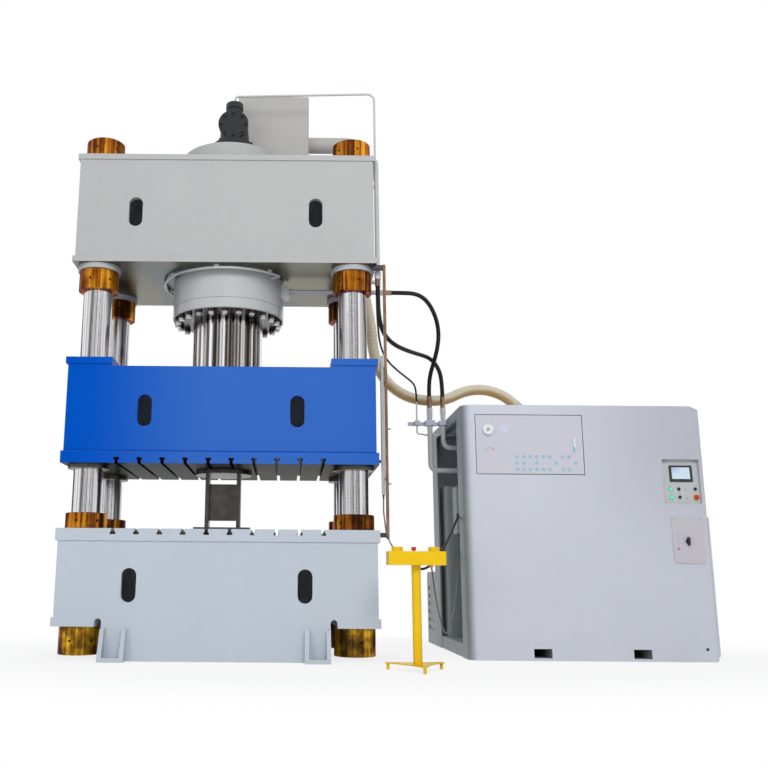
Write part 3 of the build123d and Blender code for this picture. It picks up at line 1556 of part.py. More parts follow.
# Gauge door: a folded tray on two hinge pins, with its round gauge and its swing handle
door_front = cabinet_front
handle_pivot_x = door_left + 852
handle_pivot_z = door_bottom + 306
door_pin_reach = door_gap + hinge_engage - 1
with BuildPart() as gauge_door:
    with BuildSketch(Plane.XZ.offset(-door_front)):
        with Locations((door_mid_x, door_mid_z)):
            Rectangle(door_width, door_height)
    extrude(amount=-door_thickness)
    with BuildSketch(Plane.XZ.offset(-door_front - door_sheet)):
        with Locations((door_mid_x, door_mid_z)):
            Rectangle(door_width - 2 * (hinge_inset_x + 8), door_height - 2 * door_sheet)
    extrude(amount=-door_thickness, mode=Mode.SUBTRACT)
    for start, amount in ((door_bottom, -door_pin_reach), (door_bottom + door_height, door_pin_reach)):
        with BuildSketch(Plane.XY.offset(start)):
            with Locations((hinge_x, hinge_y)):
                Circle(hinge_pin_d / 2)
        extrude(amount=amount)
    with BuildSketch(Plane.XZ.offset(-door_front - door_sheet)):
        with Locations((handle_pivot_x, handle_pivot_z)):
            Circle(5 + bore_gap)
    extrude(amount=door_sheet, mode=Mode.SUBTRACT)
finish(gauge_door.part, "gauge_door")

gauge_place = (door_left + 106, door_bottom + 385)
with BuildPart() as pressure_gauge:
    with BuildSketch(Plane.XZ.offset(-door_front)):
        with Locations(gauge_place):
            Circle(48)
    extrude(amount=24)
    with BuildSketch(Plane.XZ.offset(-door_front + 20)):
        with Locations(gauge_place):
            Circle(40)
    extrude(amount=4, mode=Mode.SUBTRACT)
finish(pressure_gauge.part, "pressure_gauge")

with BuildPart() as door_handle:
    with BuildSketch(Plane.XZ.offset(-door_front - door_sheet)):
        with Locations((handle_pivot_x, handle_pivot_z)):
            Circle(5)
    extrude(amount=door_sheet + bore_gap)
    with BuildSketch(Plane.XZ.offset(-door_front + bore_gap)):
        with Locations((handle_pivot_x, handle_pivot_z - 48)):
            SlotOverall(120, 20, rotation=90)
    extrude(amount=14)
finish(door_handle.part, "door_handle")


# Pedestal: a three-cornered base plate on feet, a post, and the box with its palm guards
star_waist = 105
star_tip = 16
foot_r = 12
tip_angles = [radians(star_turn + 360 / star_feet * i) for i in range(star_feet)]
tip_reach = (star_radius ** 2 + star_tip ** 2) ** 0.5
tip_half = atan(star_tip / star_radius)
tip_starts = [(tip_reach * cos(a - tip_half), tip_reach * sin(a - tip_half)) for a in tip_angles]
tip_ends = [(tip_reach * cos(a + tip_half), tip_reach * sin(a + tip_half)) for a in tip_angles]
waist_angles = [a + radians(180 / star_feet) for a in tip_angles]
waists = [(star_waist * cos(a), star_waist * sin(a)) for a in waist_angles]
with BuildPart() as pedestal_stand:
    with BuildSketch(Plane(origin=(post_x, post_y, star_foot))):
        with BuildLine():
            for i in range(star_feet):
                following = (i + 1) % star_feet
                Line(tip_starts[i], tip_ends[i])
                ThreePointArc(tip_ends[i], waists[i], tip_starts[following])
        make_face()
    extrude(amount=star_plate)
    with BuildSketch():
        with Locations((post_x, post_y)):
            with PolarLocations(star_radius - foot_r - 4, star_feet, start_angle=star_turn):
                Circle(foot_r)
    extrude(amount=star_foot)
    with BuildSketch(Plane.XY.offset(star_foot)):
        with Locations((post_x, post_y)):
            Circle(post_d / 2)
    extrude(amount=pedestal_top - pedestal_height - star_foot)
finish(pedestal_stand.part, "pedestal_stand")

gland_x = post_x + 36
gland_z = 782
gland_length = 18
clip_x = post_x + 134
clip_height = 16
palm_d = 56
palm_stem_d = 16
stop_head_d = 36
stop_x = post_x - 14
palm_places = [(post_x - guard_x, post_y), (post_x + guard_x, post_y)]
box_wall = 4
with BuildPart() as pedestal_box:
    with BuildSketch(Plane.XY.offset(pedestal_top - pedestal_height)):
        with Locations((post_x, post_y)):
            RectangleRounded(pedestal_width, pedestal_depth, 8)
    extrude(amount=pedestal_height)
    with BuildSketch(Plane.XY.offset(pedestal_top - pedestal_height + box_wall)):
        with Locations((post_x, post_y)):
            Rectangle(pedestal_width - 2 * box_wall, pedestal_depth - 2 * box_wall)
    extrude(amount=pedestal_height - 2 * box_wall, mode=Mode.SUBTRACT)
    with BuildSketch(Plane.XY.offset(pedestal_top)):
        with Locations(*palm_places):
            Circle(guard_d / 2)
            Circle(guard_d / 2 - guard_wall, mode=Mode.SUBTRACT)
    extrude(amount=guard_height)
    with BuildSketch(Plane.XY.offset(pedestal_top - box_wall)):
        with Locations(*palm_places):
            Circle(palm_stem_d / 2 + bore_gap)
        with Locations((stop_x, post_y)):
            Circle(stop_stem_d / 2 + bore_gap)
    extrude(amount=box_wall, mode=Mode.SUBTRACT)
    # Cable gland on the back, and the clip under the back edge that the sensor cable hangs on
    with BuildSketch(Plane.XZ.offset(-post_y - pedestal_depth / 2)):
        with Locations((gland_x, gland_z)):
            Circle(12)
    extrude(amount=-gland_length)
    with BuildSketch(Plane.XY.offset(pedestal_top - pedestal_height)):
        with Locations((clip_x, post_y + pedestal_depth / 2 - 3)):
            Rectangle(20, 20)
    extrude(amount=-clip_height)
finish(pedestal_box.part, "pedestal_box")


def push_button(place, stem_d, head_d, head_height, travel, name):
    """A mushroom button on a stem through the box's lid, with room under it for its travel."""
    with BuildPart() as button:
        with BuildSketch(Plane.XY.offset(pedestal_top - box_wall - 12)):
            with Locations(place):
                Circle(stem_d / 2)
        extrude(amount=box_wall + 12 + travel + 2)
        with BuildSketch(Plane.XY.offset(pedestal_top + travel + 2)):
            with Locations(place):
                Circle(head_d / 2)
        extrude(amount=head_height)
        fillet(button.faces().sort_by(Axis.Z)[-1].edges(), radius=5)
    finish(button.part, name)


push_button(palm_places[0], palm_stem_d, palm_d, 14, 6, "palm_button_left")
push_button(palm_places[1], palm_stem_d, palm_d, 14, 6, "palm_button_right")
push_button((stop_x, post_y), stop_stem_d, stop_head_d, 26, 6, "pedestal_stop_button")


# Cords: each route as drawn for this press, then laid between the places where its two ends are
def laid(start, end, drawn):
    """Moves a drawn route's ends to two places, and the points between by a share of each move."""
    at_start = [a - p for a, p in zip(start, drawn[0])]
    at_end = [b - q for b, q in zip(end, drawn[-1])]
    last = len(drawn) - 1
    route = []
    for i, point in enumerate(drawn):
        share = min(max((i - 1) / (last - 2), 0), 1)
        route.append(tuple(v + s * (1 - share) + e * share for v, s, e in zip(point, at_start, at_end)))
    return route


hose_a_start = (lower_hose_start, lower_pipe_y, lower_pipe_z)
hose_a_end = (riser_one_x, riser_y, hose_end_z)
hose_a_points = laid(hose_a_start, hose_a_end, [
    (1506, -100, 3238),
    (1610, -100, 3238),
    (1730, -60, 3246),
    (1830, 10, 3222),
    (1910, 100, 3155),
    (1968, 180, 3055),
    (1992, 232, 2935),
    (1982, 280, 2805),
    (1957, 355, 2690),
    (1936, 450, 2600),
    (1927, 500, 2495),
    (1927, 500, 2380),
])
finish(cord_run("pressure_hose_lower", hose_a_points, hose_d), "pressure_hose_lower")

hose_b_start = (side_pipe_x, side_pipe_y, upper_hose_start)
hose_b_end = (riser_two_x, riser_y, hose_end_z)
hose_b_points = laid(hose_b_start, hose_b_end, [
    (1341.3, -500, 3164),
    (1341.3, -500, 3050),
    (1346, -485, 2930),
    (1368, -440, 2825),
    (1420, -360, 2745),
    (1510, -240, 2705),
    (1620, -90, 2700),
    (1735, 90, 2714),
    (1836, 262, 2735),
    (1926, 385, 2738),
    (2008, 459, 2677),
    (2055, 500, 2562),
    (2055, 500, 2380),
])
finish(cord_run("pressure_hose_upper", hose_b_points, hose_d), "pressure_hose_upper")

pilot_hose_start = (pilot_pipe_x, pilot_pipe_y, pilot_pipe_bottom)
pilot_hose_end = (riser_pilot_x, riser_y, pilot_riser_top)
pilot_hose_points = laid(pilot_hose_start, pilot_hose_end, [
    (1375, -60, 3240),
    (1375, -60, 3130),
    (1378, -57, 3015),
    (1386, -50, 2895),
    (1400, -35, 2780),
    (1432, -5, 2685),
    (1490, 42, 2610),
    (1570, 108, 2555),
    (1650, 200, 2520),
    (1725, 310, 2497),
    (1773, 405, 2478),
    (1792, 466, 2449),
    (1803, 500, 2395),
    (1803, 500, 2330),
])
finish(cord_run("pilot_hose", pilot_hose_points, pilot_hose_d), "pilot_hose")

suction_hose_points = laid((header_pipe_x, header_pipe_y, header_pipe_end), elbow_end, [
    (1250, 760, 4240),
    (1250, 760, 3900),
    (1318, 759, 3587),
    (1394, 767, 3181),
    (1418, 777, 2871),
    (1496, 798, 2655),
    (1656, 831, 2496),
    (1866, 884, 2422),
    (2149, 950, 2430),
    (2360, 978, 2541),
    (2545, 1013, 2569),
    (2697, 1040, 2544),
    (2833, 1050, 2478),
    (2940, 1050, 2371),
])
finish(cord_run("suction_hose", suction_hose_points, suction_hose_d), "suction_hose")

pedestal_cable_start = (gland_x, post_y + pedestal_depth / 2 + gland_length, gland_z)
pedestal_cable_end = (terminal_left + 12, terminal_front, terminal_bottom + 160)
pedestal_cable_points = laid(pedestal_cable_start, pedestal_cable_end, [
    (1562, -1082, 782),
    (1562, -1005, 782),
    (1592, -930, 722),
    (1680, -850, 748),
    (1765, -765, 826),
    (1838, -660, 915),
    (1905, -515, 1003),
    (1955, -380, 1062),
    (1998, -250, 1117),
    (2038, -130, 1158),
    (2068, -20, 1192),
    (2106, 82, 1220),
    (2106, 150, 1220),
])
finish(cord_run("pedestal_cable", pedestal_cable_points, pedestal_cable_d), "pedestal_cable")

sensor_cable_start = (sensor_x, bar_y - 1, sensor_bottom)
sensor_cable_end = (terminal_left + 18, terminal_front + 30, terminal_bottom)
sensor_cable_points = laid(sensor_cable_start, sensor_cable_end, [
    (1357.5, -581, 1332),
    (1357.5, -581, 1275),
    (1353, -596, 1200),
    (1362, -606, 1120),
    (1368, -613, 1045),
    (1385, -627, 975),
    (1410, -665, 915),
    (1440, -735, 865),
    (1480, -825, 832),
    (1530, -915, 814),
    (1585, -1000, 806),
    (1635, -1058, 790),
    (1660, -1082, 750),
    (1669, -1074, 690),
    (1692, -995, 590),
    (1722, -905, 470),
    (1757, -818, 362),
    (1798, -715, 268),
    (1840, -615, 222),
    (1880, -525, 272),
    (1928, -420, 360),
    (1965, -325, 465),
    (2002, -228, 575),
    (2035, -140, 690),
    (2060, -62, 790),
    (2070, -5, 875),
    (2084, 60, 940),
    (2102, 130, 985),
    (2112, 180, 1015),
    (2112, 180, 1060),
])
finish(cord_run("sensor_cable", sensor_cable_points, sensor_cable_d), "sensor_cable")
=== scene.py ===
import json
import math

import bpy
import numpy as np
from mathutils import Matrix, Vector


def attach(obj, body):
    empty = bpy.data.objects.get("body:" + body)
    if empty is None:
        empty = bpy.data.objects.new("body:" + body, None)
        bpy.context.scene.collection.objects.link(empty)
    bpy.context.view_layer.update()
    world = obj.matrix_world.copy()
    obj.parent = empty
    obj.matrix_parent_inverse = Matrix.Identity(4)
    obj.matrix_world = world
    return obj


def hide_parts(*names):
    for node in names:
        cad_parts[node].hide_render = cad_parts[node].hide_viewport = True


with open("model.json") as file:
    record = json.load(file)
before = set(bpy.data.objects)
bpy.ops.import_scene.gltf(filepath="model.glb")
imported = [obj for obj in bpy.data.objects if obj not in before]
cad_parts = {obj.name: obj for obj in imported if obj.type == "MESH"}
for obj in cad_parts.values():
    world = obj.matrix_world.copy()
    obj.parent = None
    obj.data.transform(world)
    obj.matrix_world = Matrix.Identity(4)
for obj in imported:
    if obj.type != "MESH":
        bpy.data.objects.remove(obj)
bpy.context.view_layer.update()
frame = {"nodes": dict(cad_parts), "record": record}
nodes = frame["nodes"]
scene = bpy.context.scene
scene.view_settings.view_transform = "Standard"

# Sizes shared with the part's source, in metres
half_width = 1.32
half_depth = 0.65
body_half_width = 1.30
body_half_depth = 0.638
wall = 0.05
column_x = 1.12
column_y = 0.45
nut_d = 0.34
nut_hole_heights = (4.4225, 3.19, 1.105, 0.1515)
tommy_holes = 6
tommy_hole_radius = 0.011

# Height ranges that have their own finish, in metres
# the gland's underside, from gland_foot to gland_lip, is painted dark: a painted shade
gland_foot = 2.95
gland_lip = 2.9645
gland_seam = (3.0572, 3.0606)
# a paler band along the slide's lip, a painted highlight, and a darker band just above it, a painted shadow
slide_lip_highlight = (1.6680, 1.6740)
slide_shadow = (1.6745, 1.6805)
table_plate = (0.9915, 1.0405)
slide_plate = (1.5735, 1.6225)
crosshead_bare = (3.3265, 3.3275)
crosshead_cells = (3.377, 4.285)
bed_cells = (0.084, 0.89)
slide_cells = (1.674, 2.35)


# Shader maths

class Value:
    """A number that varies over a surface. An expression on values adds the Math nodes that work it out."""

    def __init__(self, nodes, socket):
        self.nodes = nodes
        self.socket = socket

    def output(self, name):
        """Another output of the node that this value comes from."""
        return Value(self.nodes, self.socket.node.outputs[name])

    def maths(self, operation, *others, clip=False):
        settings = {"operation": operation, "use_clamp": clip}
        return self.nodes.add("ShaderNodeMath", settings, dict(enumerate((self, *others))))

    def __add__(self, other):
        return self.maths("ADD", other)

    def __sub__(self, other):
        return self.maths("SUBTRACT", other)

    def __rsub__(self, other):
        return self.nodes.add("ShaderNodeMath", {"operation": "SUBTRACT"}, {0: other, 1: self})

    def __mul__(self, other):
        return self.maths("MULTIPLY", other)

    def __pow__(self, other):
        return self.maths("POWER", other)

    __radd__ = __add__
    __rmul__ = __mul__

    def sine(self):
        return self.maths("SINE")

    def fraction(self):
        return self.maths("FRACT")

    def size(self):
        return self.maths("ABSOLUTE")

    def clipped(self):
        return self.maths("ADD", 0.0, clip=True)

    def larger(self, other):
        return self.maths("MAXIMUM", other)

    def rise(self, low, high):
        """Smooth rise from 0 at low to 1 at high; a fall where low is above high."""
        if low > high:
            return 1 - self.rise(high, low)
        settings = {"interpolation_type": "SMOOTHSTEP"}
        return self.nodes.add("ShaderNodeMapRange", settings, {"Value": self, "From Min": low, "From Max": high})


class Nodes:
    """The nodes of a material or of the world."""

    def __init__(self, tree):
        self.tree = tree

    def add(self, kind, settings=None, inputs=None, output=0):
        """Adds a node with its settings first and its inputs second, and returns one output as a value."""
        node = self.tree.nodes.new(kind)
        for key, value in (settings or {}).items():
            if key == "stops":
                ramp = node.color_ramp.elements
                while len(ramp) < len(value):
                    ramp.new(0.5)
                for stop, (place, colour) in zip(ramp, value):
                    stop.position = place
                    stop.color = (*colour, 1.0)
            else:
                setattr(node, key, value)
        for key, value in (inputs or {}).items():
            self.feed(node.inputs[key], value)
        return Value(self, node.outputs[output])

    def feed(self, socket, value):
        if isinstance(value, Value):
            self.tree.links.new(value.socket, socket)
        elif isinstance(value, (tuple, list)) and len(value) == 3 and len(socket.default_value) == 4:
            socket.default_value = (*value, 1.0)
        else:
            socket.default_value = value


class Finish(Nodes):
    """A material round one Principled shader, built from values."""

    def __init__(self, name, **constants):
        self.material = bpy.data.materials.new(name)
        self.material.use_nodes = True
        super().__init__(self.material.node_tree)
        self.shader = self.tree.nodes["Principled BSDF"]
        for key, value in constants.items():
            self.shader.inputs[key.replace("_", " ").title().replace("Ior", "IOR")].default_value = value

    def place(self, stretch=(1.0, 1.0, 1.0)):
        """Object coordinates, stretched."""
        where = self.add("ShaderNodeTexCoord", output="Object")
        if stretch == (1.0, 1.0, 1.0):
            return where
        return self.add("ShaderNodeMapping", {}, {"Vector": where, "Scale": stretch})

    def axes(self, where=None):
        """The x, y and z of a place as three values."""
        split = self.add("ShaderNodeSeparateXYZ", {}, {0: where or self.place()})
        return [split.output(i) for i in range(3)]

    def facing(self):
        """The surface's own direction as three values."""
        return self.axes(self.add("ShaderNodeTexCoord", output="Normal"))

    def noise(self, scale, detail=3.0, roughness=0.5, stretch=(1.0, 1.0, 1.0)):
        inputs = {"Vector": self.place(stretch), "Scale": scale, "Detail": detail, "Roughness": roughness}
        return self.add("ShaderNodeTexNoise", {}, inputs)

    def cells(self, scale):
        return self.add("ShaderNodeTexVoronoi", {}, {"Vector": self.place(), "Scale": scale})

    def mix(self, factor, first, second):
        """A colour between two colours."""
        return self.add("ShaderNodeMix", {"data_type": "RGBA"}, {0: factor, 6: first, 7: second}, output=2)

    def ramp(self, value, stops):
        """A colour that runs through the stops as the value goes from 0 to 1."""
        return self.add("ShaderNodeValToRGB", {"stops": stops}, {0: value})

    def colour(self, value):
        self.feed(self.shader.inputs["Base Color"], value)

    def rough(self, value):
        self.feed(self.shader.inputs["Roughness"], value)

    def bump(self, height, distance, strength=1.0):
        normal = self.add("ShaderNodeBump", {}, {"Height": height, "Distance": distance, "Strength": strength})
        self.feed(self.shader.inputs["Normal"], normal)


def shade(colour, amount):
    """A colour made lighter or darker by a factor."""
    return tuple(min(1.0, c * amount) for c in colour)


# Finishes

def steel_tone(f, warm, cool):
    """Bare machined steel: broad soft warm and cool patches, painted reflections of the surroundings, with fine
    cutter marks.
    """
    broad = f.noise(2.2, 3.0, stretch=(1.0, 0.45, 1.0))
    marks = f.noise(5.0, 3.0, stretch=(30.0, 1.2, 30.0))
    return f.mix((broad * 0.85 + marks * 0.15).rise(0.42, 0.58), warm, cool), marks


def sprayed_paint(name, colour, roughness=0.38, clouds=0.05, dust=0.1, coat=0.0, machined=None, inside=None,
                  specular=0.5, painted_sheen=None, shaded=None, upper_right_shade=None, bands=(), edge_tint=1.0,
                  steel=((0.30, 0.285, 0.235), (0.235, 0.255, 0.265))):
    """Enamel on plate: clouded by hand spraying, a fine orange peel, dust on what faces up and near the floor.
    machined gives the height range that is left bare steel, toned with painted reflections, and inside the
    range of the cells behind the hand holes, where pale primer shows, partly the primer and partly painted light.
    painted_sheen is a paler tone in the middle of a beam, a painted sheen, shaded the tone of sheets that face
    left, a painted shade, upper_right_shade the share of its colour that is left at the cabinet's upper right, a
    painted shade, and bands are height ranges with their own colour, among them painted highlights and shadows."""
    f = Finish(name, coat_weight=coat, coat_roughness=0.15, specular_ior_level=specular)
    f.shader.inputs["Specular Tint"].default_value = (edge_tint, edge_tint, edge_tint, 1.0)
    x, y, z = f.axes()
    cloud = f.noise(1.3, 4.0)
    mottle = f.noise(14.0, 3.0)
    tone = (cloud * 0.7 + mottle * 0.3).rise(0.3, 0.7)
    base = f.mix(tone, shade(colour, 1 - clouds), shade(colour, 1 + clouds))
    # a paler tone in the middle of the beam: a painted sheen
    if painted_sheen:
        base = f.mix(x.rise(-1.25, 0.0) * x.rise(2.4, 0.9), base, painted_sheen)
    # darker towards the cabinet's upper right: a painted shade
    if upper_right_shade:
        base = f.mix(x.rise(2.6, 4.1) * z.rise(0.5, 1.9), base, shade(colour, upper_right_shade))
    up = f.facing()[2].rise(0.6, 1.0)
    low = z.rise(0.35, 0.0)
    grime = ((up * 0.6 + low * 0.5) * f.noise(5.0, 5.0).rise(0.35, 0.75) * dust * 3.0).clipped()
    tint = f.mix(grime, base, shade(colour, 0.62))
    rough = (f.noise(9.0, 4.0) * 0.14 + (roughness - 0.07) + grime * 0.25).clipped()
    # sheets that face left take a darker tone: a painted shade
    if shaded:
        tint = f.mix(f.facing()[0].rise(-0.25, -0.9), tint, shaded)
    if inside:
        low_cell, high_cell = inside
        within = y.size().rise(body_half_depth - wall + 0.001, body_half_depth - wall - 0.001)
        within = within * x.size().rise(body_half_width - wall + 0.001, body_half_width - wall - 0.001)
        # pale primer inside the closed cells: partly the primer and partly painted light, since lamp light hardly
        # reaches them
        primer = within * z.rise(low_cell - 0.002, low_cell + 0.002) * z.rise(high_cell + 0.002, high_cell - 0.002)
        tint = f.mix(primer, tint, (0.64, 0.68, 0.72))
        rough = rough + primer * 0.3
    if machined:
        low_cut, high_cut = machined
        edge = y.size().rise(half_depth, half_depth - 0.0006) * x.size().rise(half_width, half_width - 0.0006)
        bare = edge * z.rise(low_cut - 0.0005, low_cut + 0.0005) * z.rise(high_cut + 0.0005, high_cut - 0.0005)
        metal, marks = steel_tone(f, *steel)
        tint = f.mix(bare, tint, metal)
        rough = rough * (1 - bare) + bare * (marks * 0.16 + 0.22)
        f.feed(f.shader.inputs["Metallic"], bare)
    for low_edge, high_edge, tone in bands:
        tint = f.mix(z.rise(low_edge - 0.0004, low_edge) * z.rise(high_edge + 0.0004, high_edge), tint, tone)
    f.colour(tint)
    f.rough(rough)
    f.bump(f.noise(420.0, 2.0), 0.0006, 0.35)
    return f.material


def chrome_plate(name, stops, fineness, roughness):
    """Ground and plated steel: upright streaks of oil and of things mirrored in it run its whole length,
    from dark to bright, with faint grinding lines round the rod."""
    f = Finish(name, metallic=1.0)
    lines = f.noise(3.0, 2.0, stretch=(4.0, 4.0, 260.0))
    fine = f.noise(fineness, 1.2, 0.5, stretch=(1.0, 1.0, 0.0015))
    broad = f.noise(fineness * 0.35, 2.0, stretch=(1.0, 1.0, 0.002))
    streak = fine * 0.6 + broad * 0.4
    f.colour(f.ramp(streak.rise(0.36, 0.64), stops))
    f.rough((lines * 0.02 + fine * 0.10 + (roughness - 0.045)).clipped())
    f.bump(broad, 0.0002, 0.06)
    return f.material


amber_lacquer = [
    (0.0, (0.035, 0.008, 0.002)),
    (0.3, (0.17, 0.045, 0.003)),
    (0.62, (0.50, 0.165, 0.006)),
    (1.0, (0.86, 0.41, 0.030)),
]
olive_lacquer = [
    (0.0, (0.035, 0.016, 0.003)),
    (0.32, (0.19, 0.090, 0.005)),
    (0.62, (0.48, 0.255, 0.009)),
    (1.0, (0.86, 0.56, 0.05)),
]


def lacquered_nut(name):
    """Turned steel under brown lacquer that ran down it: amber where it is thin, dark brown where it is thick,
    with round tommy-bar holes at mid height of each nut, drawn as dark spots of painted shade. The lowest nuts
    are calmer and more olive. A hole's spot falls off with the distance along the surface from its middle, and
    the angle round a nut, counted in spacings, has some whole ones added so that its fraction never runs backwards."""
    f = Finish(name, metallic=0.85, coat_weight=0.15, coat_roughness=0.12)
    f.shader.inputs["Specular Tint"].default_value = (0.50, 0.26, 0.10, 1.0)
    x, y, z = f.axes()
    turn = f.add("ShaderNodeMath", {"operation": "ARCTAN2"}, {0: y.size() - column_y, 1: x.size() - column_x})
    lines = f.noise(2.0, 3.0, stretch=(5.0, 5.0, 420.0))
    runs = f.noise(11.0, 3.0, 0.55, stretch=(1.0, 1.0, 0.02))
    fine = f.noise(38.0, 3.0, 0.6, stretch=(1.0, 1.0, 0.02))
    patch = f.noise(7.0, 4.0)
    depth = (runs * 0.4 + fine * 0.42 + patch * 0.18).rise(0.40, 0.62)
    calm = (patch * 0.5 + fine * 0.2 + runs * 0.3).rise(0.38, 0.64)
    base = f.mix(z.rise(0.5, 0.3), f.ramp(depth, amber_lacquer), f.ramp(calm, olive_lacquer))
    spacing = 2 * math.pi / tommy_holes
    first_hole = 0.25
    whole_spacings = 8
    steps = turn * (1 / spacing) + (whole_spacings + first_hole)
    across = (steps.fraction() - 0.5).size() * (spacing * nut_d / 2)
    holes = None
    for middle in nut_hole_heights:
        reach = (across * across + (z - middle) * (z - middle)) ** 0.5
        spot = reach.rise(tommy_hole_radius + 0.0015, tommy_hole_radius - 0.0015)
        holes = spot if holes is None else holes.larger(spot)
    # the holes' dark spots are painted shade inside them
    f.colour(f.mix(holes * 0.85, base, (0.010, 0.005, 0.003)))
    f.rough((lines * 0.15 + 0.14 + holes * 0.6).clipped())
    f.bump(lines * 0.3 - holes, 0.004, 0.35)
    return f.material


def bare_metal(name, colour, roughness=0.3, lines=180.0, stain=0.15):
    """Machined or plated metal with fine tool lines and faint stains."""
    f = Finish(name, metallic=1.0)
    fine = f.noise(4.0, 3.0, stretch=(lines, 12.0, 12.0))
    patch = f.noise(11.0, 4.0)
    f.colour(f.mix(patch.rise(0.35, 0.75), shade(colour, 1 - stain), colour))
    f.rough((fine * 0.12 + patch * 0.12 + (roughness - 0.1)).clipped())
    f.bump(fine, 0.0003, 0.2)
    return f.material


def casting(name, colour):
    """Painted casting: a sandy skin with softly worn highs."""
    f = Finish(name)
    grain = f.noise(170.0, 5.0, 0.65)
    worn = f.noise(24.0, 4.0).rise(0.56, 0.8)
    f.colour(f.mix(worn, colour, shade(colour, 2.4)))
    f.rough((grain * 0.2 + 0.4).clipped())
    f.bump(grain, 0.0016, 0.55)
    return f.material


def moulded(name, colour, roughness=0.32, glow=0.0):
    """Moulded plastic with a faint grain and finger marks; lit lenses glow a little."""
    f = Finish(name, emission_strength=glow)
    if glow:
        f.shader.inputs["Emission Color"].default_value = (*colour, 1.0)
    marks = f.noise(55.0, 4.0)
    f.colour(f.mix(marks.rise(0.4, 0.7), shade(colour, 0.93), shade(colour, 1.05)))
    f.rough((marks * 0.18 + (roughness - 0.09)).clipped())
    f.bump(f.noise(900.0, 2.0), 0.0002, 0.25)
    return f.material


def hose_cover(name, colour=(0.016, 0.016, 0.018), roughness=0.42, weave=300.0):
    """Hose rubber wrapped in cloth before curing, which leaves a fine weave, with scuffs of grey."""
    f = Finish(name, specular_ior_level=0.3)
    wrap = f.cells(weave)
    scuff = f.noise(30.0, 5.0).rise(0.55, 0.8)
    f.colour(f.mix(scuff * 0.6, colour, shade(colour, 3.0)))
    f.rough((scuff * 0.2 + roughness).clipped())
    f.bump(wrap, 0.0006, 0.35)
    return f.material


def suction_vinyl(name):
    """Clear beige vinyl round a white spiral; the oil in it shows amber through the underside."""
    f = Finish(name, coat_weight=0.5, coat_roughness=0.08, subsurface_weight=0.15)
    along, turn, _ = f.axes(f.add("ShaderNodeUVMap"))
    down = f.facing()[2]
    oil = (down * -1.0 + f.noise(6.0, 3.0) * 0.5).rise(0.05, 0.75)
    spiral = ((along + turn) * (2 * math.pi)).sine().rise(-0.2, 0.9)
    clear = f.mix(spiral, (0.58, 0.54, 0.40), (0.76, 0.73, 0.60))
    amber = f.mix(spiral, (0.42, 0.24, 0.06), (0.58, 0.39, 0.14))
    f.colour(f.mix(oil, clear, amber))
    f.rough((f.noise(20.0, 3.0) * 0.12 + 0.2).clipped())
    f.bump(f.noise(220.0, 2.0), 0.0003, 0.2)
    return f.material


def gland_screw_steel(name):
    """Zinc-plated screw heads: bright below, dark brown with painted shade where they meet the gland."""
    f = Finish(name, metallic=0.9)
    height = f.axes()[2]
    patch = f.noise(30.0, 4.0)
    bright = f.mix(patch.rise(0.35, 0.7), (0.50, 0.50, 0.50), (0.72, 0.72, 0.71))
    # dark brown near the root of each head: a painted shade
    f.colour(f.mix((height + patch * 0.006).rise(2.934, 2.945), bright, (0.06, 0.045, 0.045)))
    f.rough((patch * 0.2 + 0.18).clipped())
    f.bump(f.noise(400.0, 2.0), 0.0003, 0.25)
    return f.material


def handle_plastic(name):
    """White moulded handle whose lower end is a pale blue cap."""
    f = Finish(name)
    height = f.axes()[2]
    marks = f.noise(55.0, 4.0)
    tone = f.mix(marks.rise(0.4, 0.7), (0.66, 0.69, 0.73), (0.74, 0.77, 0.80))
    f.colour(f.mix(height.rise(1.788, 1.782), tone, (0.34, 0.60, 0.72)))
    f.rough((marks * 0.18 + 0.25).clipped())
    f.bump(f.noise(900.0, 2.0), 0.0002, 0.25)
    return f.material


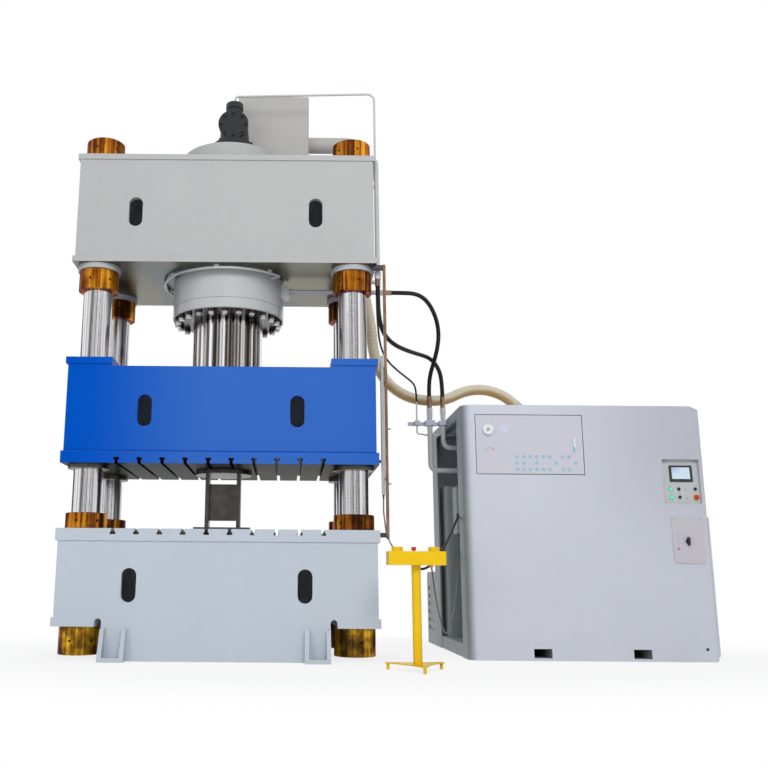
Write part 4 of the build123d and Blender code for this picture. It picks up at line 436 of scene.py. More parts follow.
column_streaks = [
    (0.0, (0.26, 0.255, 0.26)),
    (0.26, (0.52, 0.51, 0.52)),
    (0.6, (0.66, 0.65, 0.67)),
    (1.0, (0.90, 0.89, 0.92)),
]
ram_streaks = [
    (0.0, (0.045, 0.040, 0.038)),
    (0.34, (0.17, 0.155, 0.145)),
    (0.54, (0.52, 0.49, 0.46)),
    (0.8, (0.84, 0.83, 0.86)),
    (1.0, (0.96, 0.96, 1.0)),
]
finishes = {
    # the bare underside's dark warm and cool steel tones are painted reflections of the surroundings
    "crosshead_paint": sprayed_paint(
        "warm_grey_enamel", (0.425, 0.425, 0.42), 0.34, 0.025, dust=0.06, machined=crosshead_bare,
        inside=crosshead_cells, specular=0.3, steel=((0.155, 0.148, 0.105), (0.088, 0.112, 0.122))),
    "bed_paint": sprayed_paint(
        "blue_grey_enamel", (0.49, 0.535, 0.59), 0.4, 0.02, dust=0.02, machined=table_plate,
        inside=bed_cells, specular=0.3),
    # the slide's paler middle is a painted sheen
    "slide_paint": sprayed_paint(
        "blue_enamel", (0.0005, 0.076, 0.455), 0.36, 0.04, dust=0.0, machined=slide_plate,
        inside=slide_cells, specular=0.05, painted_sheen=(0.036, 0.128, 0.47), edge_tint=0.2,
        # a paler band along the lip, a painted highlight, and a darker one above it, a painted shadow
        bands=[(*slide_lip_highlight, (0.012, 0.11, 0.52)), (*slide_shadow, (0.0005, 0.035, 0.27))]),
    "chrome": chrome_plate("hard_chrome", column_streaks, 52.0, 0.15),
    "nut_lacquer": lacquered_nut("nut_lacquer"),
    "bronze": bare_metal("turned_bronze", (0.30, 0.22, 0.12), 0.3),
    "dark_paint": sprayed_paint("dark_primer", (0.045, 0.045, 0.048), 0.45, 0.12),
    "screw_steel": bare_metal("screw_steel", (0.50, 0.50, 0.50), 0.26, 60.0),
    "valve_casting": casting("valve_casting", (0.012, 0.0125, 0.014)),
    "tank_paint": sprayed_paint("tank_enamel", (0.44, 0.43, 0.41), 0.42, 0.03),
    "pipe_steel": sprayed_paint("pipe_enamel", (0.50, 0.52, 0.52), 0.3, 0.05, coat=0.3),
    "ferrule_brass": bare_metal("copper_plate", (0.50, 0.31, 0.20), 0.28, 20.0, 0.4),
    "sensor_aluminium": bare_metal("anodised_aluminium", (0.66, 0.67, 0.68), 0.34, 20.0, 0.06),
    # the cabinet's darker upper right and its darker sheets that face left are painted shade
    "cabinet_paint": sprayed_paint(
        "powder_coat", (0.565, 0.58, 0.64), 0.42, 0.02, dust=0.03, specular=0.3, shaded=(0.27, 0.30, 0.30),
        upper_right_shade=0.80),
    "motor_paint": sprayed_paint("motor_enamel", (0.05, 0.10, 0.13), 0.4, 0.08),
    "pump_iron": casting("pump_iron", (0.10, 0.10, 0.11)),
    "breaker_paint": sprayed_paint("breaker_paint", (0.52, 0.50, 0.53), 0.4, 0.02, dust=0.03),
    "yellow_paint": sprayed_paint("yellow_enamel", (0.80, 0.50, 0.003), 0.34, 0.05, specular=0.25),
    "screen_plastic": moulded("screen_frame", (0.03, 0.03, 0.034), 0.4),
    "black_plastic": moulded("black_plastic", (0.018, 0.018, 0.02), 0.35),
    "gauge_white": moulded("pale_case", (0.80, 0.81, 0.82), 0.3),
    "button_red": moulded("red_plastic", (0.60, 0.02, 0.018), 0.3),
    "hose_rubber": hose_cover("hose_cover", (0.008, 0.008, 0.009)),
    "suction_vinyl": suction_vinyl("suction_vinyl"),
}
light_lens = moulded("lit_green_lens", (0.06, 0.80, 0.36), 0.25, 0.45)
# the gland's dark underside band is a painted shade; the dark seam band is a joint
barrel_paint = sprayed_paint(
    "cylinder_enamel", (0.46, 0.47, 0.465), 0.24, 0.02, dust=0.0, coat=0.25, specular=0.3,
    bands=[(gland_foot, gland_lip, (0.040, 0.028, 0.030)), (*gland_seam, (0.12, 0.12, 0.12))])
door_paint = sprayed_paint("door_enamel", (0.550, 0.545, 0.595), 0.42, 0.015, dust=0.02, specular=0.3)
# its darker tone on sheets that face left is a painted shade
inner_paint = sprayed_paint("inner_grey_green", (0.36, 0.41, 0.40), 0.45, 0.05, shaded=(0.25, 0.29, 0.285))
stand_steel = bare_metal("stand_steel", (0.16, 0.155, 0.15), 0.34, 60.0, 0.35)
console_paint = sprayed_paint("console_enamel", (0.50, 0.525, 0.53), 0.4, 0.02, dust=0.02, specular=0.3)
own_finish = {
    "cylinder_barrel": barrel_paint,
    "cylinder_gland": barrel_paint,
    "cylinder_nut": finishes["crosshead_paint"],
    "start_button_upper": light_lens,
    "start_button_lower": light_lens,
    "palm_button_left": moulded("palm_plastic", (0.035, 0.16, 0.06), 0.4),
    "palm_button_right": moulded("palm_plastic_two", (0.035, 0.16, 0.06), 0.4),
    "sensor_cable": hose_cover("cable_grey", (0.14, 0.13, 0.12), 0.5, 600.0),
    "cabinet_frame": inner_paint,
    "oil_tank": inner_paint,
    "terminal_box": inner_paint,
    "oil_cooler": sprayed_paint("cooler_enamel", (0.30, 0.34, 0.33), 0.45, 0.04),
    "control_console": console_paint,
    "gauge_door": door_paint,
    "ram": chrome_plate("ram_chrome", ram_streaks, 26.0, 0.14),
    "clamp_rail": sprayed_paint("clamp_lavender", (0.50, 0.50, 0.60), 0.4, 0.03),
    "support_stand": stand_steel,
    "door_handle": handle_plastic("handle_plastic"),
    "gland_screws": gland_screw_steel("gland_screw_steel"),
    "guide_bushes": bare_metal("bush_steel", (0.12, 0.115, 0.10), 0.3),
}
slots = {part["node"]: part["material_slot"] for part in frame["record"]["subparts"]}
for name, piece in nodes.items():
    material = own_finish[name] if name in own_finish else finishes[slots[name]]
    for slot in piece.material_slots:
        slot.material = material
    if not piece.material_slots:
        piece.data.materials.append(material)


# Camera, floor and light

eye = Vector((0.568, -8.05, 0.654))
pitch = math.radians(12.17)
roll = 0.008
film_width = 36.0
frame_pixels = 768.0
focal_pixels = 900.0
middle_pixel = 289.0
camera_data = bpy.data.cameras.new("camera")
camera_data.lens = film_width * focal_pixels / frame_pixels
camera_data.sensor_width = film_width
camera_data.shift_x = (frame_pixels / 2 - middle_pixel) / frame_pixels
camera_data.clip_end = 100.0
camera = bpy.data.objects.new("camera", camera_data)
camera_turn = Matrix.Rotation(math.pi / 2 + pitch, 4, "X") @ Matrix.Rotation(roll, 4, "Z")
camera.matrix_world = Matrix.Translation(eye) @ camera_turn
scene.collection.objects.link(camera)
scene.camera = camera

# Places of the floor, of its shadow and of the cards, in metres
group_middle_x = 1.4
oval_stretch = 0.45
shadow_reach = (1.6, 3.6)
floor_half = 30
floor_z = -0.0005
card_line = -9.6
bright_card_line = -9.5
back_card_line = 8.0
back_card_width = 15.0
card_foot = 0.2
card_top = 7.0
bright_card_top = 7.5


def backdrop_finish(name, shown, lit):
    """A floor that the camera and reflections see as plain white, and that still takes the object's shadow:
    near the object a share of its own shaded tone is left, and far off, on a long oval, none."""
    f = Finish(name, roughness=0.9)
    f.colour(lit)
    ray = f.add("ShaderNodeLightPath")
    seen = ray.output("Is Camera Ray")
    mirrored = ray.output("Is Glossy Ray").larger(ray.output("Is Transmission Ray"))
    glow = f.add("ShaderNodeEmission", {}, {"Color": (*shown, 1.0), "Strength": 1.0})
    x, y, _ = f.axes()
    along = x - group_middle_x
    far = ((along * along * oval_stretch + y * y) ** 0.5).rise(*shadow_reach)
    share = seen * (far * 0.2 + 0.8) + mirrored
    blend = f.add("ShaderNodeMixShader", {}, {0: share.clipped(), 1: Value(f, f.shader.outputs[0]), 2: glow})
    f.feed(f.tree.nodes["Material Output"].inputs["Surface"], blend)
    return f.material


def flat_sheet(name, corners):
    """One flat face with four corners, for the floor and the cards."""
    mesh = bpy.data.meshes.new(name)
    mesh.from_pydata([tuple(c) for c in corners], [], [(0, 1, 2, 3)])
    piece = bpy.data.objects.new(name, mesh)
    scene.collection.objects.link(piece)
    return piece


floor_signs = ((-1, -1), (1, -1), (1, 1), (-1, 1))
floor = flat_sheet("floor", [(a * floor_half, b * floor_half, floor_z) for a, b in floor_signs])
floor.data.materials.append(backdrop_finish("floor_white", (1.0, 1.0, 1.0), (0.85, 0.85, 0.85)))

world = bpy.data.worlds.new("studio")
scene.world = world
world.use_nodes = True
studio = Nodes(world.node_tree)
sky = studio.tree.nodes["Background"]
sky.inputs["Color"].default_value = (0.93, 0.96, 1.0, 1.0)
sky.inputs["Strength"].default_value = 0.48
white = studio.add("ShaderNodeBackground", {}, {"Color": (1.0, 1.0, 1.0), "Strength": 1.0})
world_ray = studio.add("ShaderNodeLightPath")
mirrored = world_ray.output("Is Glossy Ray").larger(world_ray.output("Is Transmission Ray"))
seen_white = world_ray.output("Is Camera Ray").larger(mirrored)
choose = studio.add("ShaderNodeMixShader", {}, {0: seen_white, 1: Value(studio, sky.outputs[0]), 2: white})
studio.feed(studio.tree.nodes["World Output"].inputs["Surface"], choose)


def softbox(name, place, aim, width, height, power, colour=(1.0, 1.0, 1.0)):
    """A soft lamp that faces its aim and isn't mirrored in the metal."""
    data = bpy.data.lights.new(name, "AREA")
    data.shape = "RECTANGLE"
    data.size = width
    data.size_y = height
    data.energy = power
    data.color = colour
    lamp = bpy.data.objects.new(name, data)
    turn = (Vector(aim) - Vector(place)).to_track_quat("-Z", "Y")
    lamp.matrix_world = Matrix.Translation(place) @ turn.to_matrix().to_4x4()
    lamp.visible_glossy = False
    scene.collection.objects.link(lamp)


softbox("key", (2.2, -10.5, 7.0), (1.0, 0.0, 2.2), 5.0, 4.0, 630.0)
softbox("fill", (-4.5, -9.5, 2.0), (0.5, 0.0, 2.4), 4.0, 4.0, 165.0, (0.95, 0.97, 1.0))
softbox("rim", (1.0, 6.0, 9.0), (0.8, 0.0, 2.5), 6.0, 3.0, 200.0)


def card(name, x, y, width, top, tone, strength=1.0):
    """A dark or bright card across the front or the back of the studio, that only reflections see."""
    left, right = x - width / 2, x + width / 2
    piece = flat_sheet(name, [(left, y, card_foot), (right, y, card_foot), (right, y, top), (left, y, top)])
    f = Finish(name + "_tone", roughness=1.0)
    f.shader.inputs["Base Color"].default_value = (0.0, 0.0, 0.0, 1.0)
    f.shader.inputs["Emission Color"].default_value = (*tone, 1.0)
    f.shader.inputs["Emission Strength"].default_value = strength
    piece.data.materials.append(f.material)
    piece.visible_camera = False
    piece.visible_diffuse = False
    piece.visible_shadow = False
    piece.visible_transmission = False


dark_cards = [
    (-9.5, 1.6, (0.03, 0.03, 0.035)),
    (-6.9, 1.1, (0.05, 0.05, 0.055)),
    (-4.6, 1.2, (0.02, 0.02, 0.022)),
    (-2.4, 0.9, (0.07, 0.065, 0.06)),
    (-0.3, 1.3, (0.03, 0.03, 0.03)),
    (1.9, 0.8, (0.04, 0.04, 0.045)),
    (3.9, 1.4, (0.02, 0.02, 0.02)),
    (6.2, 1.0, (0.06, 0.055, 0.05)),
    (8.6, 1.6, (0.03, 0.03, 0.03)),
]
bright_cards = [(-5.75, 0.7), (-1.35, 0.6), (2.8, 0.6), (5.2, 0.7)]
for i, (x, width, tone) in enumerate(dark_cards):
    card(f"dark_card_{i + 1}", x, card_line, width, card_top, tone)
for name, x in (("back_left_card", -13.0), ("back_right_card", 15.0)):
    card(name, x, back_card_line, back_card_width, card_top, (0.06, 0.06, 0.06))
for i, (x, width) in enumerate(bright_cards):
    card(f"bright_card_{i + 1}", x, bright_card_line, width, bright_card_top, (1.0, 1.0, 1.0), 1.6)


# Cords

def smooth_line(name, places, steps):
    """One open smooth line with the route's places in millimetres as its control points."""
    curve = bpy.data.curves.new(name, "CURVE")
    curve.dimensions = "3D"
    line = curve.splines.new("NURBS")
    line.points.add(len(places) - 1)
    for point, place in zip(line.points, places):
        point.co = (*[c / 1000 for c in place], 1.0)
    line.order_u = 3
    line.use_endpoint_u = True
    line.resolution_u = steps
    return curve


def cord_piece(name, points, diameter, finish):
    """A cord: a round tube along the smooth line of its route."""
    curve = smooth_line(name, points, 12)
    length = line_length(curve)
    curve.bevel_depth = diameter / 2
    curve.bevel_resolution = 5
    curve.use_fill_caps = True
    curve.materials.append(finish)
    piece = bpy.data.objects.new(name + "_cord", curve)
    scene.collection.objects.link(piece)
    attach(piece, "press")
    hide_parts(name)


def line_points(curve):
    """The points of a curve's smooth line, before it has any thickness."""
    holder = bpy.data.objects.new("line", curve)
    scene.collection.objects.link(holder)
    bpy.context.view_layer.update()
    mesh = bpy.data.meshes.new_from_object(holder)
    places = np.empty(len(mesh.vertices) * 3)
    mesh.vertices.foreach_get("co", places)
    bpy.data.objects.remove(holder)
    bpy.data.meshes.remove(mesh)
    return places.reshape(-1, 3)


def line_length(curve):
    """The length of a curve's smooth line: the sum of the distances from each point to the next."""
    return float(np.linalg.norm(np.diff(line_points(curve), axis=0), axis=1).sum())


# Places shared with the part's source, in millimetres
side_pipe_x = 1341.3
side_pipe_y = -500
riser_y = 500
riser_one_x = 1927
riser_two_x = 2055
riser_pilot_x = 1803
hose_end_z = 2380

cord_piece("pressure_hose_lower", [
    (1506, -100, 3238),
    (1610, -100, 3238),
    (1730, -60, 3246),
    (1830, 10, 3222),
    (1910, 100, 3155),
    (1968, 180, 3055),
    (1992, 232, 2935),
    (1982, 280, 2805),
    (1957, 355, 2690),
    (1936, 450, 2600),
    (riser_one_x, riser_y, 2495),
    (riser_one_x, riser_y, hose_end_z),
], 0.040, finishes["hose_rubber"])
cord_piece("pressure_hose_upper", [
    (side_pipe_x, side_pipe_y, 3164),
    (side_pipe_x, side_pipe_y, 3050),
    (1346, -485, 2930),
    (1368, -440, 2825),
    (1420, -360, 2745),
    (1510, -240, 2705),
    (1620, -90, 2700),
    (1735, 90, 2714),
    (1836, 262, 2735),
    (1926, 385, 2738),
    (2008, 459, 2677),
    (riser_two_x, riser_y, 2562),
    (riser_two_x, riser_y, hose_end_z),
], 0.040, finishes["hose_rubber"])
cord_piece("pilot_hose", [
    (1375, -60, 3240),
    (1375, -60, 3130),
    (1378, -57, 3015),
    (1386, -50, 2895),
    (1400, -35, 2780),
    (1432, -5, 2685),
    (1490, 42, 2610),
    (1570, 108, 2555),
    (1650, 200, 2520),
    (1725, 310, 2497),
    (1773, 405, 2478),
    (1792, 466, 2449),
    (riser_pilot_x, riser_y, 2395),
    (riser_pilot_x, riser_y, 2330),
], 0.018, finishes["hose_rubber"])
cord_piece("pedestal_cable", [
    (1562, -1082, 782),
    (1562, -1005, 782),
    (1592, -930, 722),
    (1680, -850, 748),
    (1765, -765, 826),
    (1838, -660, 915),
    (1905, -515, 1003),
    (1955, -380, 1062),
    (1998, -250, 1117),
    (2038, -130, 1158),
    (2068, -20, 1192),
    (2106, 82, 1220),
    (2106, 150, 1220),
], 0.020, finishes["hose_rubber"])
cord_piece("sensor_cable", [
    (1357.5, -581, 1332),
    (1357.5, -581, 1275),
    (1353, -596, 1200),
    (1362, -606, 1120),
    (1368, -613, 1045),
    (1385, -627, 975),
    (1410, -665, 915),
    (1440, -735, 865),
    (1480, -825, 832),
    (1530, -915, 814),
    (1585, -1000, 806),
    (1635, -1058, 790),
    (1660, -1082, 750),
    (1669, -1074, 690),
    (1692, -995, 590),
    (1722, -905, 470),
    (1757, -818, 362),
    (1798, -715, 268),
    (1840, -615, 222),
    (1880, -525, 272),
    (1928, -420, 360),
    (1965, -325, 465),
    (2002, -228, 575),
    (2035, -140, 690),
    (2060, -62, 790),
    (2070, -5, 875),
    (2084, 60, 940),
    (2102, 130, 985),
    (2112, 180, 1015),
    (2112, 180, 1060),
], 0.012, own_finish["sensor_cable"])


def ring_faces(rows, columns, closed_loop=False):
    """The faces of a tube of rings, as numbers of its points: one face with four corners between each point,
    the next on its ring and the two beside them on the next ring, and the caps of the first and last ring."""
    i, j = np.meshgrid(np.arange(rows if closed_loop else rows - 1), np.arange(columns), indexing="ij")
    k = (j + 1) % columns
    below = (i + 1) % rows
    quads = np.stack([i * columns + j, i * columns + k, below * columns + k, below * columns + j], axis=-1)
    return quads.reshape(-1, 4), np.arange(columns)[::-1], (rows - 1) * columns + np.arange(columns)


def tube_mesh(name, places, finish):
    """A mesh over a grid of places, rows by columns. Columns close into a ring; both end rows are capped."""
    quads, first, last = ring_faces(*places.shape[:2])
    faces = quads.tolist() + [first.tolist(), last.tolist()]
    mesh = bpy.data.meshes.new(name)
    mesh.from_pydata(places.reshape(-1, 3).tolist(), [], faces)
    mesh.materials.append(finish)
    mesh.polygons.foreach_set("use_smooth", [True] * len(mesh.polygons))
    piece = bpy.data.objects.new(name, mesh)
    scene.collection.objects.link(piece)
    return piece


def carried_rings(path, radii, columns):
    """Rings round a path: each turned from the last by the least angle, so the tube doesn't twist."""
    steps = np.gradient(path, axis=0)
    tangents = steps / np.linalg.norm(steps, axis=1)[:, None]
    side = np.cross(tangents[0], (0.3, 0.9, 0.1))
    sides = []
    for tangent in tangents:
        side = side - tangent * side.dot(tangent)
        side = side / np.linalg.norm(side)
        sides.append(side)
    sides = np.array(sides)
    ups = np.cross(tangents, sides)
    angle = np.linspace(0, 2 * np.pi, columns, endpoint=False)
    ring = sides[:, None] * np.cos(angle)[None, :, None] + ups[:, None] * np.sin(angle)[None, :, None]
    return path[:, None] + ring * radii[:, :, None]


def evenly_spaced(path, step):
    """The same line with points a step apart along it."""
    runs = np.linalg.norm(np.diff(path, axis=0), axis=1)
    along = np.concatenate([[0.0], np.cumsum(runs)])
    count = max(2, int(round(along[-1] / step)) + 1)
    wanted = np.linspace(0, along[-1], count)
    return np.stack([np.interp(wanted, along, path[:, i]) for i in range(3)], axis=1), wanted


# The open end of the cabinet's elbow, where the suction hose arrives at 45 degrees, in millimetres
elbow_reach = 150 * math.sqrt(0.5)
elbow_lead = 107
elbow_end = (3046 - elbow_reach, 1050, 2265 + elbow_reach)


def suction_hose():
    """The suction hose: a tube round its smooth line. A sine wave on its radius, which runs on by one turn in
    every 14 mm, makes a low spiral rib."""
    name = "suction_hose"
    pitch_length = 0.014
    ring_step = 0.0035
    columns = 28
    places = [
        (1250, 760, 4240),
        (1250, 760, 3900),
        (1318, 759, 3587),
        (1394, 767, 3181),
        (1418, 777, 2871),
        (1496, 798, 2655),
        (1656, 831, 2496),
        (1866, 884, 2422),
        (2149, 950, 2430),
        (2360, 978, 2541),
        (2545, 1013, 2569),
        (2697, 1040, 2544),
        (elbow_end[0] - elbow_lead, 1050, elbow_end[2] + elbow_lead),
        elbow_end,
    ]
    curve = smooth_line(name, places, 16)
    path, along = evenly_spaced(line_points(curve), ring_step)
    turn = np.linspace(0, 1, columns, endpoint=False)
    wave = np.sin(2 * np.pi * (along[:, None] / pitch_length + turn[None, :]))
    radii = 0.0542 + 0.0008 * wave
    piece = tube_mesh(name + "_tube", carried_rings(path, radii, columns), finishes["suction_vinyl"])
    mesh = piece.data
    layer = mesh.uv_layers.new(name="around")
    corner = np.empty(len(mesh.loops), dtype=int)
    mesh.loops.foreach_get("vertex_index", corner)
    uv = np.stack([along[corner // columns] / pitch_length, turn[corner % columns]], axis=1)
    layer.data.foreach_set("uv", uv.ravel())
    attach(piece, "press")
    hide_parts(name)
    [c / 1000 for c in places[0]]


suction_hose()


# Small pieces: turned, flat and bent shapes, several to a mesh

def turned(origin, direction, profile, columns=32):
    """Rings of a turned shape: a circle round the axis for each distance along it and radius of the profile."""
    along, radius = np.array(profile, dtype=float).T
    axis = np.array(direction) / np.linalg.norm(direction)
    side = np.cross(axis, (0.31, 0.17, 0.93))
    side = side / np.linalg.norm(side)
    up = np.cross(axis, side)
    angle = np.linspace(0, 2 * np.pi, columns, endpoint=False)[:, None]
    ring = side * np.cos(angle) + up * np.sin(angle)
    return np.array(origin) + axis * along[:, None, None] + ring[None] * radius[:, None, None]


def slab(centre, right, up, size, corner, rows, steps=5):
    """Rings of a rounded plate: a rectangle with round corners, moved out and drawn in by each row's two numbers."""
    right, up = np.array(right, dtype=float), np.array(up, dtype=float)
    out = np.cross(right, up)
    arc = np.linspace(0, np.pi / 2, steps)
    angle = (arc[None] + np.arange(4)[:, None] * np.pi / 2).ravel()
    sign_x = np.repeat([1, -1, -1, 1], steps)
    sign_z = np.repeat([1, 1, -1, -1], steps)
    rings = []
    for raised, inset in rows:
        bend = max(corner - inset, 0.0001)
        a = sign_x * (size[0] / 2 - inset - bend) + bend * np.cos(angle)
        b = sign_z * (size[1] / 2 - inset - bend) + bend * np.sin(angle)
        rings.append(np.array(centre) + a[:, None] * right + b[:, None] * up + out * raised)
    return np.array(rings)


def arc_band(centre, inner, outer, start, stop, near, far, steps=24):
    """A flat band bent round a centre in the front plane: a thin rectangle carried from one angle to the other."""
    angle = np.radians(np.linspace(start, stop, steps))
    corners = [(inner, near), (outer, near), (outer, far), (inner, far)]
    rings = []
    for radius, y in corners:
        x, z = centre[0] + radius * np.cos(angle), centre[1] + radius * np.sin(angle)
        rings.append(np.stack([x, np.full(steps, y), z], axis=1))
    return np.stack(rings, axis=1)


def small_piece(name, grids, finish, body, closed_loop=False):
    """One mesh of closed shells. Each grid of rings is capped at both ends, or its last ring meets its first,
    and each shell is turned by the sign of its volume so that its faces point outwards."""
    spots, faces, start = [], [], 0
    for places in grids:
        flat = places.reshape(-1, 3)
        quads, first, last = ring_faces(*places.shape[:2], closed_loop)
        a, b, c, d = (flat[quads[:, q]] - flat.mean(axis=0) for q in range(4))
        volume = (a * np.cross(b, c)).sum() + (a * np.cross(c, d)).sum()
        if volume < 0:
            quads, first, last = quads[:, ::-1], first[::-1], last[::-1]
        faces += (quads + start).tolist()
        if not closed_loop:
            faces += [(first + start).tolist(), (last + start).tolist()]
        spots.append(flat)
        start += len(flat)
    mesh = bpy.data.meshes.new(name)
    mesh.from_pydata(np.concatenate(spots).tolist(), [], faces)
    mesh.polygons.foreach_set("use_smooth", [True] * len(mesh.polygons))
    mesh.set_sharp_from_angle(angle=math.radians(38))
    mesh.materials.append(finish)
    piece = bpy.data.objects.new(name, mesh)
    scene.collection.objects.link(piece)
    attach(piece, body)


def disc_profile(radius, thickness, round_over=0.0003):
    """A flat disc whose front edge is rounded a little."""
    return [(0.0, radius), (thickness - round_over, radius), (thickness, radius - round_over)]


# Gauge door: printed dots, a pale disc, a dial arc, and the gauge's own dial
front = (0.0, -1.0, 0.0)
door_face = -0.30005
dot_rows = [
    (1.6985, (2.547, 2.605, 2.661, 2.717, 2.776, 2.829, 2.943, 2.997)),
    (1.6445, (2.545, 2.605, 2.717, 2.885, 3.053)),
    (1.5895, (2.549, 2.604, 2.661, 2.718, 2.774, 2.829, 2.942, 2.997)),
]
dot_blue = moulded("printed_blue", (0.31, 0.50, 0.63), 0.4)
dots = [turned((x, door_face, z), front, disc_profile(0.0155, 0.0008), 24) for z, row in dot_rows for x in row]
small_piece("door_dots", dots, dot_blue, "gauge_door")
pale_print = moulded("printed_pale_blue", (0.58, 0.61, 0.70), 0.35)
door_disc = turned((2.447, door_face, 1.935), front, disc_profile(0.039, 0.0008), 48)
small_piece("door_disc", [door_disc], pale_print, "gauge_door")


def arc_print(name):
    """A printed arc that goes from green over amber to red from its left to its right end."""
    f = Finish(name)
    x = f.axes()[0]
    stops = [
        (0.0, (0.18, 0.40, 0.22)),
        (0.45, (0.48, 0.50, 0.42)),
        (0.62, (0.55, 0.25, 0.22)),
        (1.0, (0.52, 0.16, 0.16)),
    ]
    f.colour(f.ramp(x.rise(2.268, 2.356), stops))
    f.rough((f.noise(60.0, 3.0) * 0.2 + 0.3).clipped())
    f.bump(f.noise(900.0, 2.0), 0.0002, 0.25)
    return f.material


door_arc = arc_band((2.312, 1.735), 0.038, 0.044, 162, 18, door_face, door_face - 0.0006)
small_piece("door_arc", [door_arc], arc_print("arc_print"), "gauge_door")

gauge_x, gauge_z = 2.304, 1.934
dial_face = -0.32005
dial_grey = moulded("dial_grey", (0.50, 0.50, 0.50), 0.35)
dial_ink = moulded("dial_ink", (0.03, 0.03, 0.035), 0.4)
dial_disc = turned((gauge_x, dial_face, gauge_z), front, disc_profile(0.019, 0.0010), 40)
small_piece("gauge_centre", [dial_disc], dial_grey, "gauge_door")
tick_radius = 0.0335


def dial_ways(degrees):
    """The directions out from and across a dial's radius at an angle in the front plane."""
    angle = math.radians(degrees)
    out = np.array([math.cos(angle), 0.0, math.sin(angle)])
    return out, np.array([-math.sin(angle), 0.0, math.cos(angle)])


ticks = []
for i in range(11):
    radial, across = dial_ways(225 - i * 27)
    middle = np.array([gauge_x, dial_face, gauge_z]) + radial * tick_radius
    ticks.append(slab(middle, across, radial, (0.0014, 0.006), 0.0003, [(-0.0, 0.0), (-0.0006, 0.0)], 2))
radial, across = dial_ways(236)
hub = np.array([gauge_x, dial_face - 0.0012, gauge_z])
ticks.append(slab(hub + radial * 0.011, across, radial, (0.0022, 0.034), 0.001, [(-0.0, 0.0), (-0.0008, 0.0)], 3))
ticks.append(turned(hub, front, disc_profile(0.0045, 0.0016), 20))
small_piece("gauge_needle_and_ticks", ticks, dial_ink, "gauge_door")
rim_profile = [
    (0.0, 0.0462), (0.0, 0.0482), (0.0262, 0.0482), (0.0268, 0.0476),
    (0.0268, 0.0410), (0.0262, 0.0404), (0.0256, 0.0404), (0.0256, 0.0462),
]
rim_white = moulded("gauge_rim_white", (0.74, 0.75, 0.77), 0.25)
gauge_rim = turned((gauge_x, -0.2985, gauge_z), front, rim_profile, 56)
small_piece("gauge_rim", [gauge_rim], rim_white, "gauge_door", True)

# Console: display, rings round the lit buttons, and the collar of the stop button
tilt = math.radians(3.5)
console_y = -0.274
console_middle_z = 1.301
console_out = np.array([0.0, -math.cos(tilt), math.sin(tilt)])
console_up = np.array([0.0, math.sin(tilt), math.cos(tilt)])


def on_console(x, z, out):
    """The place on the tilted panel at a real x and height, moved out from it."""
    rise = (z - console_middle_z) / math.cos(tilt)
    return np.array([x, console_y, console_middle_z]) + console_up * rise + console_out * out


def lit_display(name):
    """A lit display: bluish white, lavender towards its upper left, with a darker strip along the foot."""
    f = Finish(name, emission_strength=0.12)
    x, y, z = f.axes()
    corner = (x.rise(4.0, 3.90) * z.rise(1.54, 1.62)).clipped()
    glow = f.mix(corner, (0.56, 0.68, 0.77), (0.42, 0.42, 0.72))
    glow = f.mix(z.rise(1.520, 1.516) * 0.35, glow, (0.25, 0.30, 0.36))
    f.colour(glow)
    f.feed(f.shader.inputs["Emission Color"], glow)
    f.rough((f.noise(40.0, 3.0) * 0.1 + 0.1).clipped())
    f.bump(f.noise(1500.0, 1.0), 0.0001, 0.2)
    return f.material


sideways = (1, 0, 0)
display_rows = [(0.0, 0.0), (0.0008, 0.0), (0.0012, 0.0004)]
display = slab(on_console(3.970, 1.569, 0.0071), sideways, console_up, (0.156, 0.101), 0.003, display_rows)
small_piece("screen_display", [display], lit_display("lit_display"), "press")
ring_profile = [
    (0.0, 0.0150), (0.0, 0.0192), (0.0018, 0.0192), (0.0024, 0.0186), (0.0024, 0.0156), (0.0018, 0.0150),
]
lit_places = [(3.869, 1.430), (3.871, 1.360)]
rings = [turned(on_console(x, z, 0.00605), console_out, ring_profile, 40) for x, z in lit_places]
ring_metal = bare_metal("bezel_ring", (0.72, 0.73, 0.74), 0.25, 60.0, 0.1)
small_piece("start_button_rings", rings, ring_metal, "press", True)
collar_profile = [
    (0.0, 0.0194), (0.0, 0.0275), (0.0030, 0.0275), (0.0042, 0.0262), (0.0042, 0.0206), (0.0030, 0.0194),
]
collar = turned(on_console(4.081, 1.360, 0.00005), console_out, collar_profile, 48)
collar_yellow = moulded("collar_yellow", (0.82, 0.50, 0.01), 0.35)
small_piece("stop_collar", [collar], collar_yellow, "press", True)
label = moulded("engraved_label", (0.34, 0.35, 0.37), 0.4)
label_places = [(3.869, 1.459), (3.938, 1.459), (4.080, 1.459), (3.871, 1.388), (3.941, 1.388)]
thin_rows = [(0.0, 0.0), (0.0006, 0.0)]
labels = []
for x, z in label_places:
    labels.append(slab(on_console(x, z, 0.0), sideways, console_up, (0.026, 0.0035), 0.001, thin_rows, 3))
small_piece("label_strips", labels, label, "press")

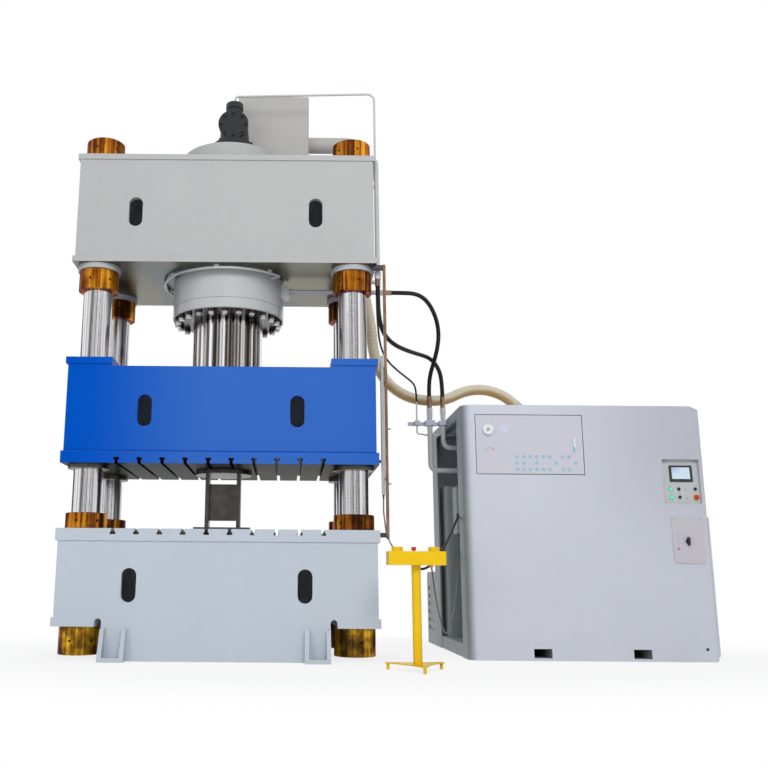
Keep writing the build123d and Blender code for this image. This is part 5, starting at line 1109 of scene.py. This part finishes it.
# Breaker panel: a green and a red dot with a line between them, and a screw in each corner
panel_face = -0.30805
upright = (0, 0, 1)
dot = disc_profile(0.010, 0.0008)
printed_green = moulded("printed_green", (0.20, 0.58, 0.34), 0.4)
printed_red = moulded("printed_red", (0.72, 0.10, 0.16), 0.4)
green_dot = turned((3.885, panel_face, 1.057), front, dot, 24)
red_dot = turned((3.883, panel_face, 0.922), front, dot, 24)
small_piece("breaker_dot_green", [green_dot], printed_green, "press")
small_piece("breaker_dot_red", [red_dot], printed_red, "press")
line_grey = moulded("printed_grey", (0.36, 0.36, 0.40), 0.4)
breaker_lines = [slab((3.884, panel_face, 0.9895), sideways, upright, (0.0022, 0.104), 0.0005, thin_rows, 2)]
for x, z in ((3.918, 1.006), (3.918, 0.966), (4.012, 1.006), (4.012, 0.966)):
    breaker_lines.append(slab((x, panel_face, z), sideways, upright, (0.026, 0.0022), 0.0005, thin_rows, 2))
small_piece("breaker_lines", breaker_lines, line_grey, "press")
screw_head = [(0.0, 0.0050), (0.0016, 0.0050), (0.0026, 0.0040), (0.0030, 0.0024)]
screw_places = [(3.851, 0.813), (3.851, 1.172), (4.091, 0.813), (4.091, 1.172)]
screws = [turned((x, panel_face, z), front, screw_head, 18) for x, z in screw_places]
small_piece("breaker_screws", screws, finishes["screw_steel"], "press")

# Tapered strain reliefs with grip grooves, where the cables leave and enter their housings
def relief_profile(length, wide, narrow):
    """A taper with five grooves: the radius falls evenly along it while a wave cuts in by a fixed depth."""
    along = np.linspace(0, 1, 41)
    groove = np.where((along > 0.12) & (along < 0.92), 0.0007 * (np.cos(along * 2 * np.pi * 6) - 1), 0)
    radius = wide + (narrow - wide) * along ** 0.8 + groove
    return np.stack([along * length, radius], axis=1)


reliefs = [
    ((1.562, -1.0655, 0.782), (0, 1, 0), 0.046, 0.0165, 0.0108),
    ((2.106, 0.150, 1.220), (0, -1, 0), 0.050, 0.0180, 0.0108),
    ((1.3575, -0.581, 1.332), (0, 0, -1), 0.032, 0.0105, 0.0066),
    ((2.112, 0.180, 1.060), (0, 0, -1), 0.032, 0.0110, 0.0066),
]
relief_rubber = moulded("relief_rubber", (0.022, 0.022, 0.024), 0.5)
tapers = [turned(place, way, relief_profile(*sizes), 28) for place, way, *sizes in reliefs]
small_piece("strain_reliefs", tapers, relief_rubber, "press")

# Band clamps round the suction hose's two ends
band = [(0.0, 0.0552), (0.0, 0.0572), (0.0015, 0.0578), (0.0135, 0.0578), (0.015, 0.0572), (0.015, 0.0552)]
elbow_way = np.array([1.0, 0.0, -1.0]) / math.sqrt(2)
elbow_place = np.array([c / 1000 for c in elbow_end])
bands = [turned((1.250, 0.760, z), upright, band, 48) for z in (4.175, 4.205)]
bands += [turned(elbow_place - elbow_way * back, elbow_way, band, 48) for back in (0.032, 0.062)]
small_piece("hose_bands", bands, finishes["screw_steel"], "press", True)
